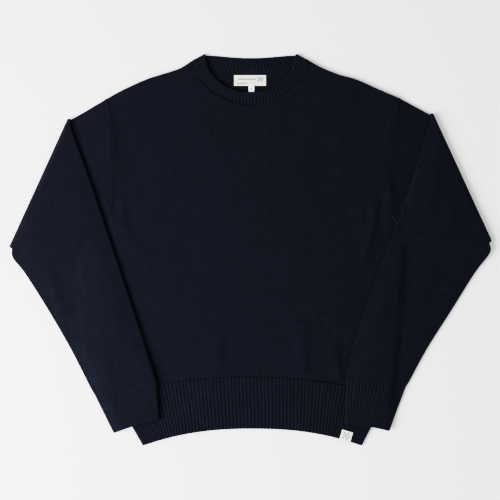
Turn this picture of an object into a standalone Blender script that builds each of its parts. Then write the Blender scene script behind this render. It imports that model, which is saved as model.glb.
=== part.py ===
"""A crew-neck knitted jumper, laid flat on its back with both sleeves folded over the front.

The frame is +Z up with the surface it lies on at Z 0, +Y towards the neck and +X to the
viewer's right when looking down on the front. Sizes below are millimetres, and MM turns them
into metres when a mesh is made.
"""

import math

import bmesh
import bpy
import numpy as np

MM = 0.001

# Cloth
KNIT = 2.8  # wall of the plain knit
GAP = 0.3  # air left between two pieces at a seam or where they lie on each other
BORE = 0.3  # air between the two layers of a flattened sleeve
EDGE_DROP = 0.8  # how far a wall rounds off at its rim
RIM = 4.0  # width of that rounding
GROOVE = 0.4  # a rib's groove below the plain wall
CREST = 1.0  # a rib's crest above the plain wall

# Levels of the two layers of the body
BACK_TOP = KNIT
FRONT_BOTTOM = BACK_TOP + GAP
FRONT_TOP = FRONT_BOTTOM + KNIT
TUBE_HALF = FRONT_TOP / 2  # half the height of a sleeve lying flat

# Body outline. X grows outwards on both halves in these tables
HALF_WAIST = 239.0  # half width where the body meets the hem rib
HALF_HEM = 190.0  # half width at the cast-off edge
WAIST_Y = -219.5  # seam of the hem rib at the middle
WAIST_SAG = 30.0  # how much lower that seam lies at the sides
HEM_Y = -310.5  # cast-off edge at the middle
HEM_SAG = 29.5  # how much lower that edge lies at the corners
HEM_POWER = 2.3
RIB_LEAN = 10.0  # how far the ribs lean in from seam to edge, growing evenly to the sides
RIB_ROLL = 39.0  # how much further they lean towards the corners
RIB_ROLL_POWER = 3
HEM_SHIFT = 3.0  # how far the cast-off edge lies to the right

SIDE_SEAM = [  # x, y from the hem rib up to the underarm
    (239, -249.5),
    (245, -205),
    (252, -130),
    (259, -45),
    (264, 38),
]
ARMHOLES = {  # x, y from the underarm up to the shoulder tip
    "left": [(264, 38), (249, 50), (238, 72), (234, 108), (237, 160), (240, 215), (251, 262)],
    "right": [(264, 38), (249, 50), (239, 80), (242, 120), (245, 170), (250, 217), (258, 264)],
}
SHOULDERS = {  # x, y from the shoulder tip to the neck
    "left": [(251, 262), (222, 278), (182, 296), (156, 304.5), (124, 315), (102.7, 328.2)],
    "right": [(258, 264), (225, 278), (184, 296), (154, 304.5), (125, 316), (102.7, 328.2)],
}
SIDES = {"left": -1, "right": 1}

# Neck
SEAM_POWER = 1.8  # of the superellipse of the band's seam with the body
FREE_POWER = 2.0  # of its free edge, a plain ellipse
SEAM_HALF = 102.0  # half width of the band's seam with the body
SEAM_Y = 329.0
SEAM_DROP = 76.5  # depth of that seam at the front
FREE_HALF = 79.0  # half width of the band's free edge
FREE_Y = 341.0
FREE_DROP = 67.0
BACK_SEAM_Y = 309.5  # seam at the middle of the back
BACK_FREE_DIP = 7.5  # how far the back's free edge dips below the peaks
NECK_SEAM_GAP = 0.7  # from the band's seam edge to the body panels
BACK_LIFT = 1.5  # the front band's rise where it lies over the back band
LIFT_FROM = 292.0  # y where that rise begins, and how far it takes
LIFT_OVER = 16.0
LIP = 2.6  # how far the front band's free edge stands up
BAND_FOLD = (FRONT_BOTTOM + BACK_LIFT) / 2  # radius of its middle where it turns over
BAND_RIBS_FRONT = 44
BAND_RIBS_BACK = 31
BACK_RIBS_END = 0.93  # share of the back's half width that has ribs
BACK_RIBS_FADE = 0.08

# Hem and cuffs
HEM_RIBS = 74
CUFF_RIBS = 16
RIBS_FADE = 0.05  # share of the hem's half width over which its ribs run out at the sides
ROUND_FROM = 0.93  # share of a rib's length where its free edge begins to round off

# Rows and columns of the panels
SHOULDER_COLUMNS = 10
NECK_COLUMNS = 22
SIDE_ROWS = 7
ARM_ROWS = 9
UNDERARM_AT = 0.55  # height of the underarm as a share of the panel
NECK_FROM = 0.30  # share of the width where the neck begins

# The front's soft relief, none of it under the sleeves. The sleeves' edges over the body lie
# SLEEVE_EDGE_X from the middle at SLEEVE_EDGE_Y, and further out above
SLEEVE_EDGE_X = 163.0
SLEEVE_EDGE_Y = -237.0
SLEEVE_EDGE_SLOPE = 0.33
RELIEF_FADE = 30.0
FRONT_LOFT = 1.5
FRONT_FOLDS = [
    # right underarm
    {"x": 223, "y": 62, "turn": 84, "long": 38, "wide": 9, "rise": -1.3},
    {"x": 212, "y": 70, "turn": 86, "long": 44, "wide": 9, "rise": 1.8},
    {"x": 197, "y": 40, "turn": 74, "long": 40, "wide": 12, "rise": 1.0},
    # left underarm
    {"x": -205, "y": 40, "turn": -58, "long": 46, "wide": 10, "rise": 1.5},
    {"x": -186, "y": 34, "turn": -60, "long": 40, "wide": 10, "rise": -1.2},
    # folds that rise from the hem rib
    {"x": 98, "y": -176, "turn": 88, "long": 40, "wide": 10, "rise": -1.3},
    {"x": 84, "y": -172, "turn": 90, "long": 46, "wide": 11, "rise": 1.3},
    {"x": 138, "y": -196, "turn": 100, "long": 30, "wide": 9, "rise": -1.1},
    {"x": -52, "y": -186, "turn": 92, "long": 30, "wide": 10, "rise": -1.0},
    {"x": -66, "y": -180, "turn": 94, "long": 34, "wide": 11, "rise": 0.9},
]

# Sleeves. Each section has its edge over the body and its outer edge, how far past the body the
# cloth spans before it sinks to the surface, how much it puffs up, and how far its middle bows
# towards the elbow
SLEEVES = {
    "left": [
        {"in": (317, 229), "out": (419.4, 5), "span": 26, "loft": 0.0, "bow": 0},
        {"in": (311, 212), "out": (412, -14), "span": 26, "loft": 1.2, "bow": 0},
        {"in": (283, 135), "out": (391, -42), "span": 26, "loft": 2.0, "bow": 0},
        {"in": (248, 32), "out": (350, -107), "span": 22, "loft": 2.0, "bow": 0},
        {"in": (215, -66), "out": (313, -171), "span": 18, "loft": 2.0, "bow": 0},
        {"in": (184, -160), "out": (281, -233), "span": 10, "loft": 2.0, "bow": 3},
        {"in": (163, -227), "out": (270, -252), "span": 8, "loft": 1.0, "bow": 6},
        {"in": (158, -292), "out": (238, -317), "span": 8, "loft": 0.8, "bow": 2},
    ],
    "right": [
        {"in": (316.5, 238), "out": (419.4, 15), "span": 26, "loft": 0.0, "bow": 0},
        {"in": (311, 219), "out": (415, -5), "span": 26, "loft": 1.2, "bow": 0},
        {"in": (284, 135), "out": (389.5, -40), "span": 26, "loft": 2.0, "bow": 0},
        {"in": (249, 32), "out": (349.5, -104), "span": 22, "loft": 2.0, "bow": 0},
        {"in": (212, -66), "out": (307.5, -170), "span": 18, "loft": 2.0, "bow": 0},
        {"in": (180, -163), "out": (277, -226), "span": 10, "loft": 2.0, "bow": 0},
        {"in": (166, -221), "out": (269.5, -238), "span": 8, "loft": 1.0, "bow": -2},
        {"in": (164, -300), "out": (241.5, -313), "span": 8, "loft": 0.8, "bow": 2},
    ],
}
SLEEVE_FOLDS = [
    {"x": -330, "y": -20, "turn": -62, "long": 70, "wide": 20, "rise": 1.2},
    {"x": -262, "y": -150, "turn": -66, "long": 60, "wide": 16, "rise": 1.0},
    {"x": 268, "y": 20, "turn": 82, "long": 70, "wide": 13, "rise": -1.2},
    {"x": 258, "y": -150, "turn": 84, "long": 60, "wide": 13, "rise": -1.0},
    {"x": 292, "y": 0, "turn": 80, "long": 80, "wide": 16, "rise": 1.2},
]
SLEEVE_GAP = 0.5  # air between the folded sleeve and what it lies on
HEM_STEP = 1.0  # how much higher the sleeve lies over the ribs of the hem
HEM_STEP_FROM = -150.0  # y where it begins to rise, and how far that takes
HEM_STEP_OVER = 60.0
SINK = 26.0  # distance over which the sleeve sinks to the surface
ARMHOLE_STATIONS = 2
FOLD_STATIONS = 4
FOLDED_STATIONS = 13
CUFF_STATIONS = 2
CUFF_EDGE = 0.03  # share of a cuff's width at each edge that has no raised rib
ROUND_OFF = 1.0  # distance from a sleeve's edge where its section has nearly its full height
ROUNDED = 0.78  # share of that height there

# Labels, all blank
NECK_LABEL = {"x": -1.0, "y": 295.0, "width": 57.0, "height": 19.5, "thick": 0.8}
SIZE_TAB = {"x": 1.5, "y": 282.6, "width": 10.5, "height": 16.8, "thick": 0.8}
TAB_LAP = 6.0  # how far the size tab laps over the neck label
HEM_LABEL = {"x": 163.5, "width": 20.0, "height": 18.4, "thick": 0.8, "tuck": 3.2}

NAVY = (0.012, 0.014, 0.030, 1.0)
NAVY_RIB = (0.011, 0.013, 0.028, 1.0)
CREAM = (0.78, 0.77, 0.68, 1.0)
WHITE = (0.86, 0.86, 0.85, 1.0)
WOOL_ROUGHNESS = 0.95
LABEL_ROUGHNESS = 0.75


def soft_step(t):
    """0 below 0, 1 above 1, and smooth between them."""
    t = np.clip(t, 0.0, 1.0)
    return t * t * (3 - 2 * t)


def smooth_path(rows, steps):
    """A Catmull-Rom curve through the rows, as steps + 1 points equally far apart along it."""
    p = np.array(rows, float)
    p = np.vstack([2 * p[0] - p[1], p, 2 * p[-1] - p[-2]])
    t = np.linspace(0, 1, 24, endpoint=False)[:, None]
    pieces = []
    for a, b, c, d in zip(p[:-3], p[1:-2], p[2:-1], p[3:]):
        bend = 2 * a - 5 * b + 4 * c - d
        twist = 3 * b - a - 3 * c + d
        pieces.append(0.5 * (2 * b + (c - a) * t + bend * t**2 + twist * t**3))
    fine = np.vstack([*pieces, p[-2]])
    return resample(fine, steps)


def resample(points, steps):
    """The polyline again, as steps + 1 points equally far apart along it."""
    length = np.linalg.norm(np.diff(points, axis=0), axis=1)
    at = np.concatenate([[0], np.cumsum(length)])
    want = np.linspace(0, at[-1], steps + 1)
    return np.stack([np.interp(want, at, points[:, k]) for k in range(points.shape[1])], axis=1)


def along(points, t):
    """Points of a polyline at the shares t of its list of points."""
    t = np.asarray(t, float)
    at = np.linspace(0, 1, len(points))
    return np.stack([np.interp(t, at, points[:, k]) for k in range(points.shape[1])], axis=-1)


def mirrored(points):
    """The same points on the other half of the body."""
    return points * np.array([-1.0, 1.0])


def folds_at(folds, x, y):
    """Height of the soft ridges and troughs at x, y: each is a long, smooth bump."""
    height = np.zeros(np.shape(x))
    for fold in folds:
        turn = math.radians(fold["turn"])
        dx = x - fold["x"]
        dy = y - fold["y"]
        run = dx * math.cos(turn) + dy * math.sin(turn)
        across = dy * math.cos(turn) - dx * math.sin(turn)
        height += fold["rise"] * np.exp(-((run / fold["long"]) ** 2) - (across / fold["wide"]) ** 2)
    return height


def waist_curve(x):
    """Y of the seam between the body and the hem rib."""
    return WAIST_Y - WAIST_SAG * (x / HALF_WAIST) ** 2


def hem_curve(x):
    """Y of the hem's cast-off edge."""
    return HEM_Y - HEM_SAG * np.abs(x / HALF_HEM) ** HEM_POWER


def superellipse(half, centre_y, drop, power, angle):
    """The lower half of a superellipse, from its left end at angle 0 to its right end at pi."""
    x = -half * np.sign(np.cos(angle)) * np.abs(np.cos(angle)) ** (2 / power)
    y = centre_y - drop * np.abs(np.sin(angle)) ** (2 / power)
    return np.stack([x, y], axis=-1)


def fold_normal(first_end, second_end):
    """Unit normal of a fold line, on the side towards the neck or the sleeve's outside."""
    run = np.subtract(second_end, first_end)
    run = run / np.linalg.norm(run)
    return np.array([-run[1], run[0]]) * np.sign(run[0])


def band_inset(nearness):
    """How far the band's middle lies in from its outline near a shoulder, where it turns over."""
    inward = fold_normal((SEAM_HALF, SEAM_Y), (FREE_HALF, FREE_Y)) * (BAND_FOLD + KNIT / 2)
    return inward * -(nearness**6)


def back_neck_curve(x):
    """Y of the seam between the back and the neckband."""
    return BACK_SEAM_Y + (SEAM_Y - BACK_SEAM_Y) * (np.abs(x) / SEAM_HALF) ** 4


# Meshes


def make_object(name, vertices, faces, colour, roughness):
    """One closed named object from points in millimetres, with its faces pointing out."""
    mesh = bpy.data.meshes.new(name)
    mesh.from_pydata([tuple(v) for v in np.asarray(vertices) * MM], [], faces)
    work = bmesh.new()
    work.from_mesh(mesh)
    bmesh.ops.recalc_face_normals(work, faces=work.faces)
    work.to_mesh(mesh)
    work.free()
    mesh.shade_smooth()
    mesh.set_sharp_from_angle(angle=math.radians(40))
    material = bpy.data.materials.new(name)
    material.use_nodes = True
    shader = material.node_tree.nodes["Principled BSDF"]
    shader.inputs["Base Color"].default_value = colour
    shader.inputs["Roughness"].default_value = roughness
    shader.inputs["Metallic"].default_value = 0.0
    mesh.materials.append(material)
    made = bpy.data.objects.new(name, mesh)
    bpy.context.scene.collection.objects.link(made)
    return made


def strip_faces(first, second, closed=True, turned=lambda i: False):
    """Pairs of triangles between two equally long lists of vertex numbers.

    Each pair is cut along the diagonal from first[i], or from second[i] where it is turned.
    """
    faces = []
    for i in range(len(first) if closed else len(first) - 1):
        j = (i + 1) % len(first)
        a, b, c, d = first[i], first[j], second[j], second[i]
        faces += [(a, b, d), (b, c, d)] if turned(i) else [(a, b, c), (a, c, d)]
    return faces


def make_panel(name, plan, top, bottom, colour, roughness=WOOL_ROUGHNESS):
    """A wall between a top and a bottom grid over one plan, closed round its rim."""
    rows, columns = top.shape
    upper = np.dstack([plan, top]).reshape(-1, 3)
    lower = np.dstack([plan, bottom]).reshape(-1, 3)
    number = np.arange(rows * columns).reshape(rows, columns)
    faces = []
    for first, second in zip(number[:-1].tolist(), number[1:].tolist()):
        under_first, under_second = ([i + rows * columns for i in row] for row in (first, second))
        faces += strip_faces(first, second, False)
        faces += strip_faces(under_second, under_first, False, lambda i: True)
    rim = [*number[0, :-1], *number[:-1, -1], *number[-1, :0:-1], *number[:0:-1, 0]]
    rim = [int(i) for i in rim]
    faces += strip_faces(rim, [i + rows * columns for i in rim])
    return make_object(name, np.vstack([upper, lower]), faces, colour, roughness)


def make_strip(name, rings, closed, colour, roughness=WOOL_ROUGHNESS):
    """A solid strip through closed rings, either a loop or capped at both ends."""
    count, around = rings.shape[:2]
    number = np.arange(count * around).reshape(count, around).tolist()
    faces = []
    for k in range(count if closed else count - 1):
        faces += strip_faces(number[k], number[(k + 1) % count])
    if not closed:
        faces += [tuple(number[0]), tuple(number[-1])]
    return make_object(name, rings.reshape(-1, 3), faces, colour, roughness)


def make_tube(name, outer, inner, far_edge, colour):
    """An open tube of cloth: rings of its outside and of its inside, joined at both ends.

    A ring runs out to its point far_edge and back, and both layers are cut the same way.
    """
    count, around = outer.shape[:2]
    number = np.arange(count * around).reshape(count, around)
    outside = number.tolist()
    inside = (number + count * around).tolist()
    faces = []
    for k in range(count - 1):
        faces += strip_faces(outside[k], outside[k + 1], turned=lambda i: i >= far_edge)
        faces += strip_faces(inside[k + 1], inside[k], turned=lambda i: i < far_edge)
    faces += strip_faces(inside[0], outside[0])
    faces += strip_faces(outside[-1], inside[-1])
    points = np.vstack([outer.reshape(-1, 3), inner.reshape(-1, 3)])
    return make_object(name, points, faces, colour, WOOL_ROUGHNESS)


# Front and back


def side_edges(side_path, arm_path, v):
    """Points up one side of a panel at the shares v: the side seam, then the armhole."""
    low = along(side_path, v / UNDERARM_AT)
    high = along(arm_path, (v - UNDERARM_AT) / (1 - UNDERARM_AT))
    return np.where((v <= UNDERARM_AT)[:, None], low, high)


def panel_plan(side_path, arm_paths, top_path, columns, rows):
    """Plan of a body panel: a patch blended between its hem, sides, armholes and top."""
    u, v = np.array(columns), np.array(rows)
    left = mirrored(side_edges(side_path, arm_paths["left"], v))[:, None]
    right = side_edges(side_path, arm_paths["right"], v)[:, None]
    hem_x = HALF_WAIST * (2 * u - 1)
    bottom = np.stack([hem_x, waist_curve(hem_x)], axis=-1)[None]
    top = top_path(u)[None]
    across, up = u[None, :, None], v[:, None, None]
    corners = (1 - up) * ((1 - across) * bottom[:, :1] + across * bottom[:, -1:])
    corners = corners + up * ((1 - across) * top[:, :1] + across * top[:, -1:])
    return (1 - up) * bottom + up * top + (1 - across) * left + across * right - corners


def shares(counts, ends, rim):
    """Rising shares from 0 to 1: counts[i] equal steps up to ends[i], and one more near each end."""
    values = [0.0]
    for count, low, high in zip(counts, [0.0, *ends[:-1]], ends):
        values += np.linspace(low, high, count + 1)[1:].tolist()
    return sorted([*values, rim, 1 - rim])


def top_edge(neck_curve):
    """The top of a panel as a function of its share: shoulder, neck, shoulder."""
    left_shoulder = mirrored(smooth_path(SHOULDERS["left"], 60))
    right_shoulder = smooth_path(SHOULDERS["right"], 60)
    neck = neck_curve(np.linspace(0, math.pi, 121))
    neck[0] = left_shoulder[-1]
    neck[-1] = right_shoulder[-1]

    def path(u):
        left = along(left_shoulder, u / NECK_FROM)
        middle = along(neck, (u - NECK_FROM) / (1 - 2 * NECK_FROM))
        right = along(right_shoulder, (1 - u) / NECK_FROM)
        low, high = (u < NECK_FROM)[:, None], (u > 1 - NECK_FROM)[:, None]
        return np.where(low, left, np.where(high, right, middle))

    return path


def front_neck(angle):
    """The front's neckline, just outside the band's seam edge."""
    half, drop = SEAM_HALF + NECK_SEAM_GAP, SEAM_DROP + NECK_SEAM_GAP
    return superellipse(half, SEAM_Y, drop, SEAM_POWER, angle)


def back_neck(angle):
    """The back's neckline, just below the band's seam edge."""
    nearness = np.abs(np.cos(angle))
    x = -SEAM_HALF * np.cos(angle)
    y = back_neck_curve(x) - NECK_SEAM_GAP + band_inset(nearness[:, None])[:, 1]
    return np.stack([x, y], axis=-1)


def rim_of(shape):
    """1 on the rim of a grid and 0 inside it."""
    rim = np.zeros(shape)
    rim[[0, -1], :] = 1
    rim[:, [0, -1]] = 1
    return rim


def front_rise(x, y):
    """How far the front lies above the back: a soft loft with its folds, and none under a sleeve."""
    sleeve_edge = SLEEVE_EDGE_X + SLEEVE_EDGE_SLOPE * (y - SLEEVE_EDGE_Y) - RIM
    clear_of_sleeve = soft_step((sleeve_edge - np.abs(x)) / RELIEF_FADE)
    clear_of_hem = soft_step((y - waist_curve(x)) / RELIEF_FADE)
    soft = (FRONT_LOFT + folds_at(FRONT_FOLDS, x, y)) * clear_of_sleeve * clear_of_hem
    to_neck = np.hypot(np.abs(x) - SEAM_HALF, y - SEAM_Y)
    return np.maximum(soft, BACK_LIFT * soft_step(1.5 - to_neck / RELIEF_FADE))


def make_body_panels(side_path, arm_paths):
    """The front and back panels, which share their side seams, armholes and shoulders."""
    neck_to = 1 - NECK_FROM
    rim = RIM / (2 * HALF_WAIST)
    columns = shares(
        [SHOULDER_COLUMNS, NECK_COLUMNS, SHOULDER_COLUMNS], [NECK_FROM, neck_to, 1.0], rim
    )
    rows = shares([SIDE_ROWS, ARM_ROWS], [UNDERARM_AT, 1.0], rim)
    plan = panel_plan(side_path, arm_paths, top_edge(front_neck), columns, rows)
    rise = front_rise(plan[..., 0], plan[..., 1])
    bottom = FRONT_BOTTOM + rise
    top = bottom + KNIT - EDGE_DROP * rim_of(rise.shape)
    make_panel("front", plan, top, bottom, NAVY)

    half_columns = SHOULDER_COLUMNS // 2
    columns = shares(
        [half_columns, NECK_COLUMNS // 2, half_columns], [NECK_FROM, neck_to, 1.0], rim
    )
    rows = shares([SIDE_ROWS // 2, ARM_ROWS], [UNDERARM_AT, 1.0], rim)
    plan = panel_plan(side_path, arm_paths, top_edge(back_neck), columns, rows)
    flat = np.zeros(plan.shape[:2])
    make_panel("back", plan, flat + BACK_TOP, flat + EDGE_DROP * rim_of(flat.shape), NAVY)


# Ribbed strips


def rib_columns(count):
    """Shares along a ribbed edge and the height there: a groove, then both sides of a crest."""
    start = np.arange(count)
    at = np.stack([start, start + 0.3, start + 0.7], axis=1).ravel() / count
    height = np.tile([-GROOVE, CREST, CREST], count)
    return at, height


def strip_ring(seam, free, up, half, ribs_up, ribs_down):
    """Section of a ribbed strip from its seam edge to its rounded free edge."""
    near_edge = seam + (free - seam) * ROUND_FROM
    return np.array(
        [
            seam + up * (half + ribs_up),
            near_edge + up * (half + ribs_up),
            free,
            near_edge - up * (half + ribs_down),
            seam - up * (half + ribs_down),
        ]
    )


def hem_line(u):
    """Seam point and cast-off point of the hem at share u, from -1 to 1 across the body."""
    seam_x = HALF_WAIST * u
    lean = (RIB_LEAN * np.abs(u) + RIB_ROLL * np.abs(u) ** RIB_ROLL_POWER) * np.sign(u)
    free_x = seam_x - lean + HEM_SHIFT
    return (seam_x, waist_curve(seam_x) - GAP), (free_x, hem_curve(seam_x - lean))


def make_hem():
    """The front and back halves of the hem rib."""
    at, height = rib_columns(HEM_RIBS)
    up = np.array([0.0, 0.0, 1.0])
    half = KNIT / 2
    front = []
    for share, rib in zip([*at, 1.0], [*height, -GROOVE]):
        u = 2 * share - 1
        seam, free = (np.array([*p, FRONT_BOTTOM + half]) for p in hem_line(u))
        fade = soft_step((1 - abs(u)) / RIBS_FADE)
        front.append(strip_ring(seam, free, up, half, rib * fade, 0.0))
    make_strip("hem_rib_front", np.array(front), False, NAVY_RIB)
    back = []
    for u in np.linspace(-1, 1, 25):
        seam, free = (np.array([*p, half]) for p in hem_line(u))
        back.append(strip_ring(seam, free, up, half, 0.0, 0.0))
    make_strip("hem_rib_back", np.array(back), False, NAVY_RIB)


def band_angles(shares_along):
    """Angles round the front neck at even shares of the length of the band's middle."""
    angle = np.linspace(0, math.pi, 181)
    seam = superellipse(SEAM_HALF, SEAM_Y, SEAM_DROP, SEAM_POWER, angle)
    free = superellipse(FREE_HALF, FREE_Y, FREE_DROP, FREE_POWER, angle)
    step = np.linalg.norm(np.diff(seam + free, axis=0), axis=1)
    length = np.concatenate([[0], np.cumsum(step)])
    return np.interp(np.asarray(shares_along) * length[-1], length, angle)


def make_neckband():
    """The neckband, one ring of rib: flat on the front, over at each shoulder, flat on the back."""
    half = KNIT / 2
    front_mid = FRONT_BOTTOM + half
    seam_end = np.array([SEAM_HALF, SEAM_Y])
    free_end = np.array([FREE_HALF, FREE_Y])
    outward = fold_normal(seam_end, free_end)
    edges = [
        (SEAM_HALF, SEAM_Y, SEAM_DROP, SEAM_POWER),
        (FREE_HALF, FREE_Y, FREE_DROP, FREE_POWER),
    ]

    def front_ring(angle, rib):
        """Section on the front, at an angle from the left shoulder round to the right one."""
        ends = []
        for edge, raised in ((0, 0.0), (1, LIP)):
            x, y = superellipse(*edges[edge], angle)
            inset = band_inset(abs(math.cos(angle)))
            lift = BACK_LIFT * soft_step((y + inset[1] - LIFT_FROM) / LIFT_OVER)
            z = front_mid + lift + raised * math.sin(angle)
            ends.append(np.array([x + np.sign(x) * inset[0], y + inset[1], z]))
        return strip_ring(ends[0], ends[1], np.array([0.0, 0.0, 1.0]), half, rib, 0.0)

    def turn_ring(side, phi):
        """Section where the band turns over at a shoulder: phi 0 on the front, pi on the back."""
        up = np.array([side * outward[0], outward[1], 0.0]) * math.sin(phi)
        up[2] = math.cos(phi)
        inset = band_inset(1.0)
        ends = []
        for x, y in (seam_end, free_end):
            axis = np.array([side * (x + inset[0]), y + inset[1], half + BAND_FOLD])
            ends.append(axis + BAND_FOLD * up)
        return strip_ring(ends[0], ends[1], up, half, 0.0, 0.0)

    def back_ring(share, rib):
        """Section on the back, at a share from the right shoulder to the left one."""
        swing = 1 - 2 * share
        narrow, low = band_inset(1.0)[0], band_inset(abs(swing))[1]
        seam_y = BACK_SEAM_Y + (SEAM_Y - BACK_SEAM_Y) * swing**4
        free_y = FREE_Y - BACK_FREE_DIP * (1 - swing**2)
        seam = np.array([swing * (SEAM_HALF + narrow), seam_y + low, half])
        free = np.array([swing * (FREE_HALF + narrow), free_y + low, half])
        fade = soft_step((BACK_RIBS_END - abs(swing)) / BACK_RIBS_FADE)
        return strip_ring(seam, free, np.array([0.0, 0.0, -1.0]), half, 0.0, rib * fade)

    rings = []
    at, height = rib_columns(BAND_RIBS_FRONT)
    rings += [front_ring(a, rib) for a, rib in zip(band_angles(at[1:]), height[1:])]
    turns = np.linspace(0, math.pi, 6)
    rings += [turn_ring(1, phi) for phi in turns]
    at, height = rib_columns(BAND_RIBS_BACK)
    rings += [back_ring(a, rib) for a, rib in zip(at[1:], height[1:])]
    rings += [turn_ring(-1, phi) for phi in turns[::-1]]
    make_strip("neckband", np.array(rings), True, NAVY_RIB)


# Sleeves


def outside_distance(outline, x, y):
    """How far each point lies outside a closed outline, and 0 inside it."""
    p = np.stack([x, y], axis=-1)
    nearest = np.full(np.shape(x), np.inf)
    inside = np.zeros(np.shape(x), bool)
    for a, b in zip(outline, np.roll(outline, -1, axis=0)):
        edge = b - a
        t = np.clip(((p - a) @ edge) / (edge @ edge), 0, 1)
        nearest = np.minimum(nearest, np.linalg.norm(p - a - t[..., None] * edge, axis=-1))
        crosses = (a[1] > y) != (b[1] > y)
        rise = edge[1] if edge[1] != 0 else 1.0
        inside ^= crosses & (x < a[0] + (y - a[1]) * edge[0] / rise)
    return np.where(inside, 0.0, nearest)


def garment_outline(side_path, fold_in, fold_out):
    """What a folded sleeve lies on, on the right half: its own upper part, the body and the hem."""
    hem_x = np.linspace(HALF_HEM, 0, 9)
    hem = np.stack([hem_x, hem_curve(hem_x)], axis=-1)
    return np.vstack([[fold_in, fold_out], side_path[::-1], hem, [(0, fold_in[1])]])


def loop_profile(width, below, above):
    """Round a flattened tube: shares across it and heights, for its outside and its inside.

    The loop runs from one edge along the shares below, round the other edge and back along
    the shares above.
    """
    round_off, wall = ROUND_OFF / width, KNIT / width
    shoulder = wall + 0.5 * round_off
    outer_t = [0, round_off, *below, 1 - round_off, 1, 1 - round_off, *above[::-1], round_off]
    inner_t = [wall, shoulder, *below, 1 - shoulder, 1 - wall, 1 - shoulder]
    inner_t += [*above[::-1], shoulder]
    rounded = ROUNDED * TUBE_HALF
    low = [-rounded, *[-TUBE_HALF] * len(below), -rounded]
    high = [rounded, *[TUBE_HALF] * len(above), rounded]
    outer_h = [0, *low, 0, *high]
    half_bore = BORE / 2
    inner_h = [0, *[-half_bore] * (len(below) + 2), 0, *[half_bore] * (len(above) + 2)]
    return np.array([outer_t, outer_h], float), np.array([inner_t, inner_h], float)


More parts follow.
